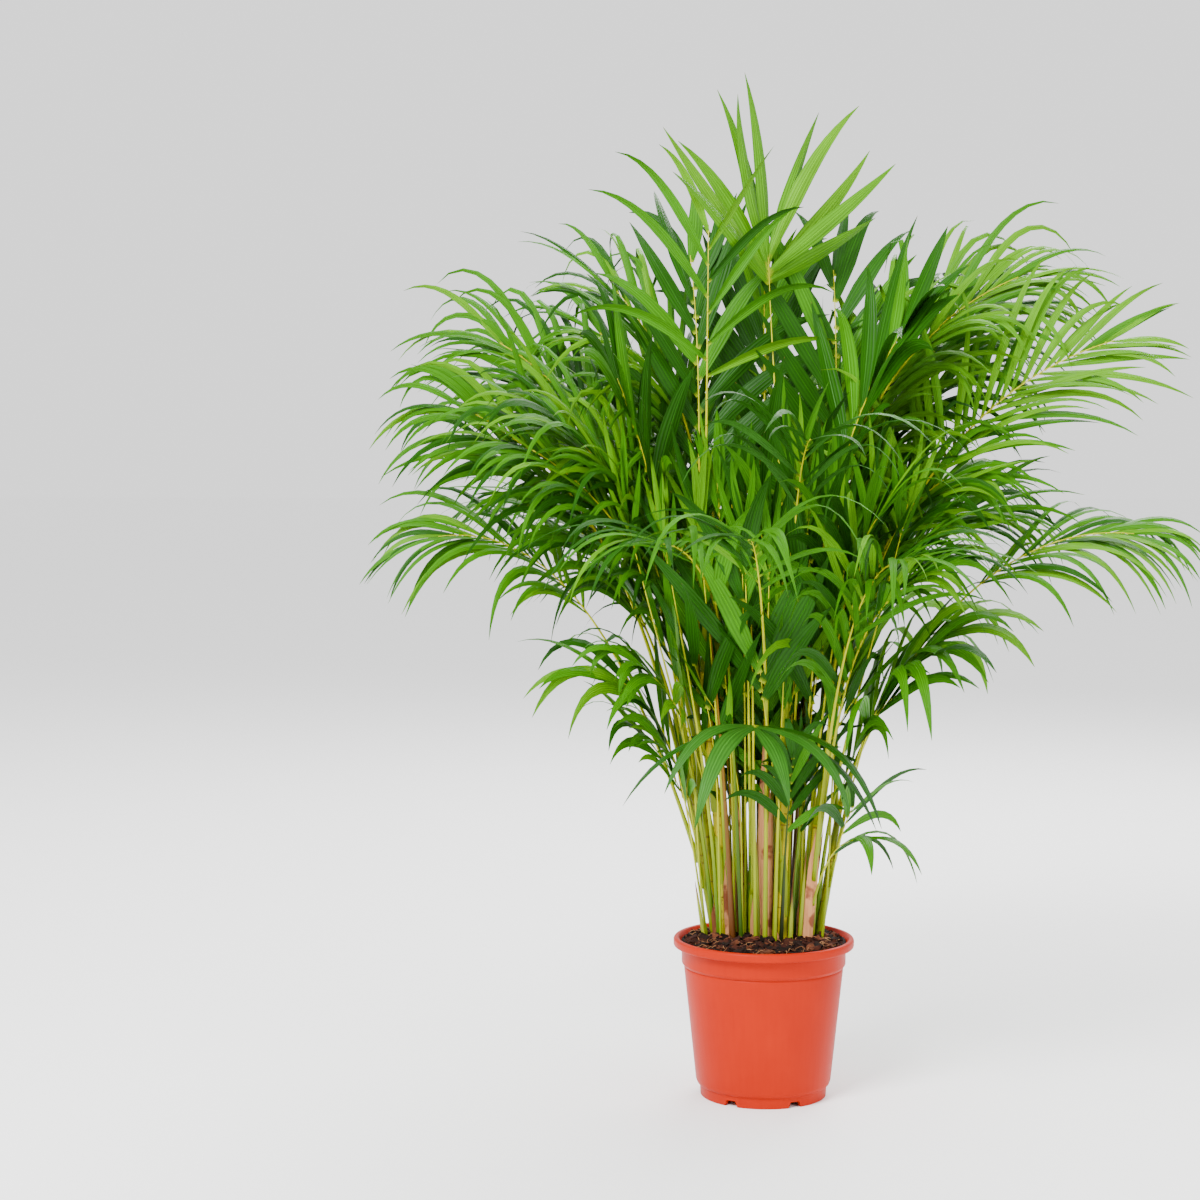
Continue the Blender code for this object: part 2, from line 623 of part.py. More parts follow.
def grow_leaf(bm, face, frame, shape, tip):
    """A leaflet drawn out of the rib's side face, from bend to bend and on to its tip."""
    end = face
    for ring in leaf_rings(face, frame, shape, 0.0)[1:]:
        end = push_face(bm, end, ring)
    middle = shape[-1][0]
    end = push_face(bm, end, [tip + (corner.co - middle) * 0.1 for corner in end.verts])
    bmesh.ops.pointmerge(bm, verts=list(end.verts), merge_co=tip)


def find_leaf(frond, face, frame, side, place_share, placed, own, rng):
    """A leaflet clear of its neighbours, turned or shortened a little where it meets one."""
    for attempt in range(LEAF_TRIES):
        loose = attempt / LEAF_TRIES
        change = (rng.uniform(*LEAF_TURN) * loose, rng.uniform(-LEAF_LIFT, LEAF_LIFT) * loose,
                  1 - LEAF_SHORTEN * loose)
        line, fullness = leaf_line(frond, frame, side, place_share, change, rng)
        shape, tip = leaf_shape(frond, line, fullness)
        rings = leaf_rings(face, frame, shape, GAP)
        if touches(leaf_tree(rings, tip, 0.0), placed):
            continue
        tree = leaf_tree(rings, tip, LEAF_CROWDING)
        if not touches(tree, own):
            own.append(tree)
            return shape, tip
    return None


def finish_solid(name, bm, group, material):
    """Turn a mesh under construction into a named object, and return its search tree."""
    bmesh.ops.triangulate(bm, faces=bm.faces)
    bmesh.ops.recalc_face_normals(bm, faces=bm.faces)
    if bm.calc_volume(signed=True) < 0:
        bmesh.ops.reverse_faces(bm, faces=bm.faces)
    mesh = bpy.data.meshes.new(name)
    bm.to_mesh(mesh)
    tree = BVHTree.FromBMesh(bm)
    bm.free()
    add_object(name, mesh, group, material)
    return tree


def make_ribs(frond, placed):
    """The rods of one frond: its stalk and blade, which are one solid unless it is split."""
    curve = find_curve(frond, placed)
    if curve is None:
        print("no room for", frond["name"])
        return None
    blade = blade_shares(frond)
    if frond.get("split"):
        stalk = make_rod(frond, curve, stalk_shares(frond))[0]
        places = curve[0]
        length = sum((after - before).length for before, after in zip(places, places[1:]))
        blade[0] += GAP / length
        rod, flanks = make_rod(frond, curve, blade)
    else:
        stalk = None
        rod, flanks = make_rod(frond, curve, stalk_shares(frond) + blade[1:])
        flanks = flanks[STALK_STEPS:]
    return {"frond": frond, "curve": curve, "shares": blade, "stalk": stalk, "rod": rod,
            "flanks": flanks}


def grow_leaves(ribs, placed):
    """Leaflets on alternate sides of the rib, from its bare stalk to its tip."""
    frond, shares = ribs["frond"], ribs["shares"]
    places, across = ribs["curve"]
    rng = random.Random(frond["name"] + " leaflets")
    own = [BVHTree.FromBMesh(ribs["rod"])]
    slots = len(shares) - 1
    for slot in range(slots):
        side = 1 if slot % 2 else -1
        frame = rib_frame(frond, places, across, (shares[slot] + shares[slot + 1]) / 2)
        face = ribs["flanks"][slot]
        leaf = find_leaf(frond, face, frame, side, slot / (slots - 1), placed, own, rng)
        if leaf is not None:
            grow_leaf(ribs["rod"], face, frame, *leaf)
    print(frond["name"], "leaflets", len(own) - 1, "of", slots)


def back_fronds():
    """Fronds round the back of the crown, each on the cane nearest to its direction."""
    rng = random.Random(BACK_SEED)
    canes = [name for name in CANES if name.startswith("back") or name in ("left", "far_right")]
    used = {}
    fronds = {}
    for tier, rule in enumerate(BACK_TIERS):
        for number in range(rule["count"]):
            turn = rule["first"] + (rule["last"] - rule["first"]) * number / (rule["count"] - 1)
            way = math.radians(turn + rng.uniform(-BACK_TURN_SPREAD, BACK_TURN_SPREAD))
            reach = rule["reach"] * rng.uniform(*BACK_REACH_SPREAD)
            tip = (reach * math.cos(way), BACK_CENTRE + reach * math.sin(way),
                   rule["rise"] + rng.uniform(-BACK_RISE_SPREAD, BACK_RISE_SPREAD))
            aim = (tip[0] * CANE_REACH, tip[1] * CANE_REACH)
            name = min(canes, key=lambda each: used.get(each, 0) * CANE_CROWDING
                       + math.dist(CANES[each]["foot"], aim))
            height = CANES[name]["tip"] - BACK_BELOW_TIP - BACK_SPACING * used.get(name, 0)
            used[name] = used.get(name, 0) + 1
            fronds[f"back_{tier + 1}_{number + 1}"] = {
                "kind": rule["kind"], "cane": name, "height": height, "tip": tip,
                "lean": CANES[name]["lean"] + rng.uniform(*BACK_LEAN_ADDED), "bow": rule["bow"]}
    return fronds


def main():
    clear_scene()
    group = new_collection("potted areca palm")
    cutters = new_collection("cutters")
    cutters.hide_render = True
    make_pot(group, cutters)
    make_soil(group)
    cane_material = make_material("cane", COLOURS["cane"], 0.45)
    placed = []
    for name, cane in CANES.items():
        placed.append(make_cane(f"cane_{name}", cane, group, cane_material))
    frond_material = make_material("frond", COLOURS["frond"], 0.4)
    new_material = make_material("new frond", COLOURS["new_frond"], 0.4)
    plans = dict(FRONDS)
    plans.update(back_fronds())
    grown = []
    rods = {}
    for name, plan in plans.items():
        frond = {"name": f"frond_{name}"}
        frond.update(KINDS[plan["kind"]])
        frond.update(plan)
        ribs = make_ribs(frond, placed + list(rods.values()))
        if ribs is not None:
            grown.append(ribs)
            rods[name] = BVHTree.FromBMesh(ribs["rod"])
            if ribs["stalk"] is not None:
                placed.append(BVHTree.FromBMesh(ribs["stalk"]))
            ribs["key"] = name
    for ribs in grown:
        others = [tree for key, tree in rods.items() if key != ribs["key"]]
        grow_leaves(ribs, placed + others)
        fresh = ribs["frond"]["kind"] in ("fan", "spear")
        material = new_material if fresh else frond_material
        name = ribs["frond"]["name"]
        if ribs["stalk"] is not None:
            finish_solid(name + "_stalk", ribs["stalk"], group, material)
        placed.append(finish_solid(name, ribs["rod"], group, material))


main()
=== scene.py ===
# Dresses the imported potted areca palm: fine leaflets, ribs, canes with husks, soil and pot.

import math
import random

import bpy
from mathutils import Matrix, Vector, noise
from mathutils.geometry import interpolate_bezier
from mathutils.kdtree import KDTree


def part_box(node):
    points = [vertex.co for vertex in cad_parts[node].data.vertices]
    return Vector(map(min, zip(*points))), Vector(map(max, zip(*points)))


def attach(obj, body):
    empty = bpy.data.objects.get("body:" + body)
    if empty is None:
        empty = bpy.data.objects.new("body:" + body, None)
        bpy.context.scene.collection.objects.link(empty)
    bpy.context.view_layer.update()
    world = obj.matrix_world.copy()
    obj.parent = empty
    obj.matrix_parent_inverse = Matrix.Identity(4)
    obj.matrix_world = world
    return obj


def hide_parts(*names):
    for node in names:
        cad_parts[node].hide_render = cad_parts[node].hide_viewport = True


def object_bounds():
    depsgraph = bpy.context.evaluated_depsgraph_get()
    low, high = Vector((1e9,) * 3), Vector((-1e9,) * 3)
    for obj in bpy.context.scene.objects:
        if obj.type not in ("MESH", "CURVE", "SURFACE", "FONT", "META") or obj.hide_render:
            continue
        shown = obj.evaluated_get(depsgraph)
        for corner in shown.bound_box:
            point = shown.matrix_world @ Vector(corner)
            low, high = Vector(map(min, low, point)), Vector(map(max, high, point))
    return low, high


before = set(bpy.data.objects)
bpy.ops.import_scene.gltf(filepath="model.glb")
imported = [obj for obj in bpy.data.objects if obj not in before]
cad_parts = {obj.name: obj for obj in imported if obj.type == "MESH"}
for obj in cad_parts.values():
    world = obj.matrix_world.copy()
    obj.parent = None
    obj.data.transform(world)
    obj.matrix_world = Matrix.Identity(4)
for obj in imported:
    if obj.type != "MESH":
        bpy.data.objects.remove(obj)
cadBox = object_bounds()
mm = 0.001
up = Vector((0.0, 0.0, 1.0))
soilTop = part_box("soil")[1].z
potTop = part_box("pot")[1].z
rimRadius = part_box("pot")[1].x
print("frame loaded, nodes", len(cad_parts))


def paint(colour, share=1.0):
    # a share of a colour as it looks on screen, 0 to 255, as the shader wants it
    parts = []
    for part in colour:
        part = part / 255
        part = part / 12.92 if part <= 0.04045 else ((part + 0.055) / 1.055) ** 2.4
        parts.append(part * share)
    return (*parts, 1.0)


class Wire:
    # one socket, with the arithmetic that adds Math nodes
    def __init__(self, finish, socket):
        self.finish = finish
        self.socket = socket

    def reckon(self, operation, *values):
        return self.finish.add("ShaderNodeMath", {"operation": operation}, dict(enumerate(values)))

    def __add__(self, other):
        return self.reckon("ADD", self, other)

    def __rsub__(self, other):
        return self.reckon("SUBTRACT", other, self)

    def __sub__(self, other):
        return self.reckon("SUBTRACT", self, other)

    def __mul__(self, other):
        return self.reckon("MULTIPLY", self, other)

    def __pow__(self, other):
        return self.reckon("POWER", self, other)

    def __abs__(self):
        return self.reckon("ABSOLUTE", self)

    def sine(self):
        return self.reckon("SINE", self)

    def fraction(self):
        return self.reckon("FRACT", self)

    __radd__ = __add__


class Finish:
    # one material, wired to its Principled shader
    def __init__(self, name, roughness, gloss):
        self.material = bpy.data.materials.new(name)
        self.material.use_nodes = True
        self.tree = self.material.node_tree
        self.shader = self.tree.nodes["Principled BSDF"]
        self.shader.inputs["Roughness"].default_value = roughness
        self.shader.inputs["Specular IOR Level"].default_value = gloss

    def add(self, kind, settings, sockets, output=0):
        node = self.tree.nodes.new(kind)
        for key, value in settings.items():
            setattr(node, key, value)
        for key, value in sockets.items():
            if isinstance(value, Wire):
                self.tree.links.new(value.socket, node.inputs[key])
            else:
                node.inputs[key].default_value = value
        return Wire(self, node.outputs[output])

    def place(self, scale=(1.0, 1.0, 1.0)):
        here = self.add("ShaderNodeTexCoord", {}, {}, "Object")
        return self.add("ShaderNodeMapping", {}, {"Vector": here, "Scale": scale})

    def cloud(self, size, detail=3.0, scale=(1.0, 1.0, 1.0)):
        # soft noise with patches of about that size in metres
        return self.add("ShaderNodeTexNoise", {}, {"Vector": self.place(scale), "Scale": 1 / size,
                                                   "Detail": detail})

    def part(self, vector, number):
        # the vector's x, y or z
        return self.add("ShaderNodeSeparateXYZ", {}, {"Vector": vector}, number)

    def map(self):
        # the piece's own map: x round or across it, y along it
        spot = self.add("ShaderNodeUVMap", {"uv_map": "grain"}, {})
        return self.part(spot, 0), self.part(spot, 1)

    def fade(self, value, start, end):
        return self.add("ShaderNodeMapRange", {"interpolation_type": "SMOOTHSTEP"},
                        {"Value": value, "From Min": start, "From Max": end})

    def mix(self, share, first, second):
        return self.add("ShaderNodeMix", {"data_type": "RGBA"}, {"Factor": share, 6: first,
                                                                  7: second}, 2)

    def close(self, colour, height, depth, roughness=None):
        # feeds the shader what changes over the surface, and gives the material
        normal = self.add("ShaderNodeBump", {}, {"Height": height, "Distance": depth,
                                                 "Strength": 1.0})
        for name, wire in (("Base Color", colour), ("Normal", normal), ("Roughness", roughness)):
            if wire:
                self.tree.links.new(wire.socket, self.shader.inputs[name])
        return self.material


class Bundle:
    # many small parts, joined as one mesh
    def __init__(self):
        self.spots = []
        self.faces = []
        self.tones = []
        self.marks = []

    def skin(self, rows, lengths, tone=0, closed=False):
        # a skin over rows of places, whose map runs across each row and along the lengths
        start = len(self.spots)
        wide = len(rows[0])
        spans = wide if closed else wide - 1
        for row in rows:
            self.spots.extend(row)
        for number in range(len(rows) - 1):
            near, far = start + number * wide, start + (number + 1) * wide
            for column in range(spans):
                follow = (column + 1) % wide
                self.faces.append((near + column, near + follow, far + follow, far + column))
                first, second = column / spans, (column + 1) / spans
                self.marks += [(first, lengths[number]), (second, lengths[number]),
                               (second, lengths[number + 1]), (first, lengths[number + 1])]
                self.tones.append(tone)
        return start

    def cap(self, start, count, length, tone=0, turned=False):
        face = list(range(start, start + count))
        if turned:
            face.reverse()
        self.faces.append(tuple(face))
        self.marks += [(0.5, length)] * count
        self.tones.append(tone)

    def tube(self, rows, lengths, tone=0):
        # a closed skin with a lid at each end
        wide = len(rows[0])
        start = self.skin(rows, lengths, tone, True)
        self.cap(start, wide, lengths[0], tone, True)
        self.cap(start + wide * (len(rows) - 1), wide, lengths[-1], tone)

    def scatter(self, spots, faces, matrix, tone):
        start = len(self.spots)
        self.spots.extend(matrix @ spot for spot in spots)
        for face in faces:
            self.faces.append(tuple(start + corner for corner in face))
            self.marks += [(0.5, 0.5)] * len(face)
            self.tones.append(tone)

    def piece(self, name, finishes, slotName, nodes, smooth=True):
        mesh = bpy.data.meshes.new(name)
        mesh.from_pydata(self.spots, [], self.faces)
        mesh.polygons.foreach_set("material_index", self.tones)
        mesh.polygons.foreach_set("use_smooth", [smooth] * len(self.faces))
        grain = mesh.uv_layers.new(name="grain")
        grain.data.foreach_set("uv", [part for mark in self.marks for part in mark])
        for finish in finishes:
            mesh.materials.append(finish)
        thing = bpy.data.objects.new(name, mesh)
        bpy.context.scene.collection.objects.link(thing)
        settle(thing, nodes)


def settle(thing, nodes):
    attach(thing, "root")
    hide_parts(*nodes)
    print(thing.name, "is made, faces", len(thing.data.polygons))


def tubeRing(centre, first, second, size, sides, flat=1.0):
    ring = []
    for number in range(sides):
        turn = 2 * math.pi * number / sides
        ring.append(centre + first * math.cos(turn) * size + second * math.sin(turn) * size * flat)
    return ring


def onGround(distance, turn):
    return Vector((math.cos(turn), math.sin(turn), 0.0)) * distance


def turnedBody(sides, stations):
    # a round body, extruded from one station's ring to the next and closed at both ends
    spot, size = stations[0]
    bpy.ops.mesh.primitive_circle_add(vertices=sides, radius=size, location=spot,
                                      fill_type="NGON")
    thing = bpy.context.object
    bpy.ops.object.transform_apply(location=True)
    bpy.ops.object.mode_set(mode="EDIT")
    bpy.ops.mesh.select_all(action="SELECT")
    bpy.ops.mesh.region_to_loop()
    for (spot, size), (after, wider) in zip(stations, stations[1:]):
        bpy.ops.mesh.extrude_region_move(TRANSFORM_OT_translate={"value": after - spot})
        grow = wider / size
        bpy.ops.transform.resize(value=(grow, grow, 1), center_override=after)
    bpy.ops.mesh.edge_face_add()
    bpy.ops.mesh.select_all(action="SELECT")
    bpy.ops.mesh.normals_make_consistent(inside=False)
    bpy.ops.object.mode_set(mode="OBJECT")
    return thing


def choose(things):
    bpy.ops.object.select_all(action="DESELECT")
    for thing in things:
        thing.select_set(True)
    bpy.context.view_layer.objects.active = things[0]


def joined(things):
    choose(things)
    bpy.ops.object.join()
    return things[0]


def table(columns, rows):
    # a dictionary for each row; a row may end in one with more values
    plans = {}
    for name, row in rows.items():
        plans[name] = dict(zip(columns, row))
        plans[name].update(*row[len(columns):])
    return plans


# the plant's plan, as the solids have it
canePlan = table(("foot", "way", "lean", "tip", "radius", "yellow"), {
    # foot in mm, the way and the lean in degrees, the tip's height and the radius in mm, and how
    # yellow the cane is, from 0 to 1
    "front_left": ((-36, 14), 180, 5.0, 420, 5.6, 0.85),
    "left": ((-48, 24), 178, 9.0, 300, 3.8, 0.3),
    "inner_left": ((-22, 22), 180, 2.5, 400, 4.2, 0.1),
    "centre_left": ((-11, 6), 185, 0.8, 350, 3.8, 0.0),
    "centre": ((3, 0), 150, 0.8, 310, 4.6, 0.45),
    "front_right": ((18, -6), 20, 0.8, 430, 5.4, 1.0),
    "inner_right": ((30, 16), 10, 3.0, 390, 4.2, 0.35),
    "right": ((42, 2), 355, 4.5, 270, 4.4, 0.8),
    "far_right": ((54, 20), 5, 9.0, 290, 3.6, 0.55),
    "back_left": ((-46, 50), 145, 8.0, 330, 4.2, 0.4),
    "back_inner_left": ((-25, 44), 112, 5.0, 410, 4.6, 0.1),
    "back_centre": ((-3, 36), 92, 3.0, 430, 4.2, 0.6),
    "back_inner_right": ((18, 44), 70, 5.0, 390, 4.6, 0.2),
    "back_right": ((42, 46), 40, 8.0, 340, 4.0, 0.7),
})
caneGrowth = {"taper": 0.78, "flareHeight": 14 * mm, "flare": 1.45, "gap": 0.3 * mm}

kindPlan = table(("bare", "pairs", "leaf", "broad", "first", "last", "wide", "close", "vee", "limp",
                  "stalk"), {
    # the bare share of the rib, pairs of leaflets, the longest one's length and breadth in mm, how
    # long the first and the last are as shares of it, their angles to the rib and their rise over it
    # in degrees, how limp they are, and the rib's radius at its foot in mm
    "arching": (0.4, 10, 192, 11, 0.75, 0.6, 42, 16, 16, 2.1, 2.6),
    "feather": (0.42, 12, 170, 11, 0.8, 0.45, 50, 16, 14, 0.8, 2.8),
    "dark": (0.46, 8, 170, 16, 0.8, 0.6, 44, 18, 16, 0.35, 2.8),
    "upright": (0.62, 6, 165, 13, 1.0, 0.55, 62, 26, 10, 0.5, 2.8),
    "fan": (0.86, 5, 190, 19, 1.0, 0.95, 58, 8, 4, 0.1, 2.8),
    "hand": (0.93, 3, 140, 16, 1.0, 0.85, 78, 18, 4, 3.0, 1.8),
    "young": (0.55, 4, 100, 11, 0.8, 0.7, 44, 20, 8, 1.0, 1.6),
    "spear": (0.9, 2, 110, 14, 1.0, 0.9, 16, 6, 6, 0.0, 2.2),
})

# young fronds with few and broad leaflets
kindPlan["bold"] = dict(kindPlan["young"], leaf=155, broad=17, limp=0.45, wide=36, close=12,
                        pairs=3, bare=0.56, first=0.9, last=0.8)

frondPlan = table(("kind", "cane", "tip", "lean", "bow", "roll"), {
    # tip in mm; lean at the foot, bow at the tip and roll in degrees; a frond without a height grows
    # from its cane's tip
    "top_fan": ("fan", "front_right", (2, 30, 830), 2, 4, 0),
    "top_spear": ("spear", "centre", (-2, 70, 800), 1, 2, 0),
    "left_centre_upright": ("upright", "front_left", (-56, -25, 858), 3, 6, 10),
    "right_centre_dark": ("dark", "inner_right", (136, -60, 764), 4, 40, 55),
    "left_centre_dark": ("dark", "left", (-143, -50, 709), 8, 30, -55),
    "right_big_feather": ("feather", "right", (336, -10, 746), 5, 74, 62),
    "right_upper_arch": ("arching", "back_inner_right", (250, 60, 812), 8, 68, 50),
    "right_upper_inner": ("arching", "back_inner_right", (170, 20, 760), 8, 50, 55, {"height": 330}),
    "right_middle": ("arching", "back_right", (193, 60, 571), 14, 70, 40),
    "right_low_arch": ("arching", "far_right", (353, -35, 560), 18, 96, 40,
        {"wide": 34, "close": 12, "leaf": 155, "limp": 2.9, "vee": 6, "bare": 0.56, "pairs": 8,
         "split": True}),
    "right_low_broad": ("young", "far_right", (150, -65, 440), 14, 66, 40,
        {"height": 235, "leaf": 180, "broad": 15, "wide": 46, "close": 16, "bare": 0.45, "first": 1.0,
         "limp": 2.4}),
    "right_front_broad": ("arching", "right", (135, -120, 515), 12, 70, 20,
        {"height": 240, "pairs": 7, "broad": 14}),
    "left_upper_arch": ("arching", "back_left", (-268, 55, 748), 12, 60, -50),
    "left_upper_back": ("arching", "back_inner_left", (-150, 60, 800), 8, 40, -45, {"height": 350}),
    "left_middle_arch": ("arching", "left", (-292, -45, 680), 12, 66, -60, {"height": 260}),
    "left_inner_arch": ("arching", "front_left", (-222, -80, 640), 10, 62, -45, {"height": 330}),
    "left_middle_low": ("arching", "back_left", (-185, 40, 600), 14, 62, -40, {"height": 280}),
    "left_low_arch": ("arching", "left", (-318, -45, 556), 18, 98, -40,
        {"height": 225, "wide": 38, "close": 14, "leaf": 165, "limp": 2.9, "vee": 8, "bare": 0.54,
         "pairs": 8, "split": True}),
    "left_low_front": ("young", "front_left", (-118, -60, 430), 12, 60, -30,
        {"height": 250, "leaf": 120, "broad": 11, "limp": 1.8}),
    "front_hand": ("hand", "centre_left", (-9, -80, 376), 4, 100, 0, {"height": 200}),
    "front_dark_vee": ("young", "front_right", (-5, -60, 440), 4, 8, 0,
        {"height": 235, "leaf": 150, "broad": 20, "bare": 0.76, "pairs": 2, "wide": 40, "close": 26,
         "limp": 0.15}),
    "front_left_droop": ("arching", "inner_left", (-95, -185, 555), 8, 88, 0, {"bare": 0.58, "pairs": 7}),
    "front_right_droop": ("arching", "front_right", (40, -205, 650), 8, 84, 0,
        {"height": 350, "bare": 0.58, "pairs": 7}),
    "front_right_low": ("arching", "right", (125, -190, 540), 12, 88, 0,
        {"height": 215, "bare": 0.56, "pairs": 7}),
    "front_arch": ("arching", "centre", (-15, -235, 560), 12, 94, 0,
        {"height": 270, "bare": 0.6, "pairs": 7, "split": True}),
    "right_small_upper": ("young", "far_right", (88, -15, 292), 18, 40, 0,
        {"height": 205, "wide": 52, "limp": 1.6}),
    "right_small_lower": ("young", "right", (86, -45, 262), 18, 78, 0,
        {"height": 190, "leaf": 112, "wide": 36, "limp": 3.0}),
    "left_small": ("young", "left", (-100, -5, 345), 14, 50, -30, {"height": 200}),
})

backPlan = (
    {"kind": "arching", "count": 5, "reach": 265, "rise": 575, "bow": 84, "first": 42, "last": 150},
    {"kind": "feather", "count": 5, "reach": 210, "rise": 700, "bow": 66, "first": 35, "last": 145},
    {"kind": "dark", "count": 3, "reach": 110, "rise": 800, "bow": 35, "first": 50, "last": 135},
)
backGrowth = {"seed": 7, "centre": 30, "turn": 6, "reach": (0.9, 1.08), "rise": 40,
              "lean": (3, 7), "belowTip": 25, "spacing": 35, "aim": 0.3, "crowding": 25}

# young fronds that rise out of the soil between the canes: foot and tip in mm, lean at the foot and
# bow at the tip in degrees
youngPlan = table(("foot", "tip", "lean", "bow"), {
    "left_low": ((-42, 4), (-72, -36, 440), 4, 34),
    "left": ((-29, 4), (-50, -52, 505), 2, 26),
    "left_high": ((-30, 28), (-84, -14, 560), 3, 30),
    "left_out": ((-56, 10), (-132, -8, 500), 8, 42),
    "centre_low": ((-18, 14), (-22, -74, 540), 1, 24),
    "centre": ((-3, 14), (16, -60, 590), 1, 22),
    "centre_high": ((8, 16), (-6, -26, 640), 0, 18),
    "right_low": ((36, 9), (62, -58, 478), 3, 34),
    "right": ((24, 8), (44, -72, 548), 2, 26),
    "right_high": ((38, 24), (84, -22, 600), 3, 30),
    "right_out": ((57, 8), (122, -24, 520), 8, 42),
    "back_left": ((-36, 58), (-92, 110, 500), 6, 40),
    "back": ((-12, 56), (-14, 128, 540), 5, 34),
    "back_right": ((30, 56), (72, 112, 510), 6, 38),
    "back_high": ((6, 56), (34, 90, 620), 3, 24),
    "low_left": ((-20, 2), (-58, -24, 400), 3, 40, {"leaf": 110, "broad": 11, "bare": 0.74}),
    "low_right": ((11, 8), (36, -36, 430), 2, 34, {"leaf": 110, "broad": 11, "bare": 0.76}),
    "low_out": ((48, 8), (88, -34, 400), 7, 44, {"leaf": 120, "broad": 11, "bare": 0.7}),
    "mid_left": ((-44, 22), (-98, 16, 440), 7, 34),
    "mid_right": ((20, 22), (40, 14, 500), 2, 30),
    "mid": ((-8, 24), (-24, 6, 470), 1, 30),
    "far_left": ((-55, 18), (-150, -30, 420), 12, 62,
        {"leaf": 150, "broad": 13, "limp": 1.7, "pairs": 5, "roll": -35}),
    "far_left_low": ((-50, 38), (-118, 0, 355), 12, 48,
        {"leaf": 120, "broad": 12, "limp": 1.3, "pairs": 4, "roll": -30}),
    "far_right": ((56, 26), (172, -40, 462), 12, 62,
        {"leaf": 165, "broad": 16, "limp": 1.7, "pairs": 5, "roll": 35}),
    "far_right_low": ((50, 34), (128, -10, 400), 12, 50,
        {"leaf": 150, "broad": 15, "limp": 1.4, "pairs": 4, "roll": 30}),
})

# thin stems that stand among the canes and end in a leaf that hasn't opened
stemPlan = {"seed": 3, "count": 24, "middle": (0, 24), "reach": 46, "spacing": 7.0,
            "rise": (400, 640), "lean": 7, "stalk": (1.6, 3.6), "leaf": (55, 95), "broad": 11,
            "tones": ("midLeaf", "deepLeaf", "deepLeaf", "brightLeaf"),
            "ribs": ("ribYellow", "ribYellow", "ribGreen", "ribBrown")}
# short young fronds that fill the clump low down; their mostly dark stems and leaves are painted shade
# inside the clump
lowPlan = {"seed": 17, "count": 18, "middle": (0, 26), "reach": 42, "spacing": 5.5,
           "rise": (320, 450), "lean": 7, "stalk": (1.4, 2.4), "leaf": (60, 100), "broad": 11,
           "tones": ("deepLeaf", "deepLeaf", "deepLeaf", "midLeaf"),
           "ribs": ("ribDark", "ribDark", "ribGreen", "ribBrown")}
# yellow stems that start behind the front canes and lean out in front of the leaves: foot, tip
frontPlan = {"kind": "spear", "lean": 5, "bow": 15, "stalk": 2.7, "leaf": 95, "broad": 11,
             "tone": "midLeaf", "rib": "ribRising"}
frontStems = (
    ((-50, 24), (-136, -56, 590)), ((-44, 18), (-98, -60, 560)), ((-35, 16), (-66, -64, 585)),
    ((-25, 20), (-46, -70, 610)), ((-12, 14), (-20, -76, 570)), ((1, 22), (4, -76, 545)),
    ((14, 16), (28, -76, 625)), ((22, 24), (42, -70, 590)), ((31, 16), (62, -74, 600)),
    ((38, 22), (80, -64, 560)), ((45, 16), (102, -68, 600)), ((51, 24), (136, -58, 590)),
)
# fronds that are doubled, and how far the second one's tip lies from the first one's, in mm
twinPlan = {
    "left_upper_arch": (14, 50, -34), "left_upper_back": (-20, 40, -40),
    "left_middle_arch": (10, 60, -30), "left_inner_arch": (20, 50, 30),
    "left_middle_low": (24, -60, 26), "right_upper_arch": (-20, 50, -26),
    "right_upper_inner": (26, 40, -44), "right_middle": (-20, -70, 40),
    "right_front_broad": (-30, 40, 60), "back_1_2": (30, -20, 30), "back_1_4": (-30, -20, 30),
}

ribGrowth = {"tipRadius": 1.3 * mm, "points": 97, "footHandle": 0.42, "tipHandle": 0.32,
             "tries": 160, "turn": 100, "tilt": (-4, 10), "slide": 45 * mm}


def headingOf(way, angle):
    return way * math.sin(angle) + up * math.cos(angle)


def levelWay(start, end):
    return Vector((end.x - start.x, end.y - start.y, 0.0)).normalized()


def caneLine(cane):
    heading = headingOf(onGround(1.0, math.radians(cane["way"])), math.radians(cane["lean"]))
    foot = Vector((cane["foot"][0] * mm, cane["foot"][1] * mm, soilTop + caneGrowth["gap"]))
    return foot, heading, (cane["tip"] * mm - foot.z) / heading.z


def caneAt(cane, height):
    foot, heading, length = caneLine(cane)
    share = (height - foot.z) / heading.z / length
    radius = cane["radius"] * mm * (1 - (1 - caneGrowth["taper"]) * share)
    return foot + heading * share * length, radius


def backFronds():
    plan = backGrowth
    rng = random.Random(plan["seed"])
    canes = [name for name in canePlan if name.startswith("back") or name in ("left", "far_right")]
    used = {}
    fronds = {}
    for tier, rule in enumerate(backPlan):
        for number in range(rule["count"]):
            turn = rule["first"] + (rule["last"] - rule["first"]) * number / (rule["count"] - 1)
            way = math.radians(turn + rng.uniform(-plan["turn"], plan["turn"]))
            reach = rule["reach"] * rng.uniform(*plan["reach"])
            tip = (reach * math.cos(way), plan["centre"] + reach * math.sin(way),
                   rule["rise"] + rng.uniform(-plan["rise"], plan["rise"]))
            aim = (tip[0] * plan["aim"], tip[1] * plan["aim"])
            name = min(canes, key=lambda each: used.get(each, 0) * plan["crowding"]
                       + math.dist(canePlan[each]["foot"], aim))
            height = canePlan[name]["tip"] - plan["belowTip"] - plan["spacing"] * used.get(name, 0)
            used[name] = used.get(name, 0) + 1
            fronds[f"back_{tier + 1}_{number + 1}"] = {
                "kind": rule["kind"], "cane": name, "height": height, "tip": tip,
                "lean": canePlan[name]["lean"] + rng.uniform(*plan["lean"]), "bow": rule["bow"]}
    return fronds


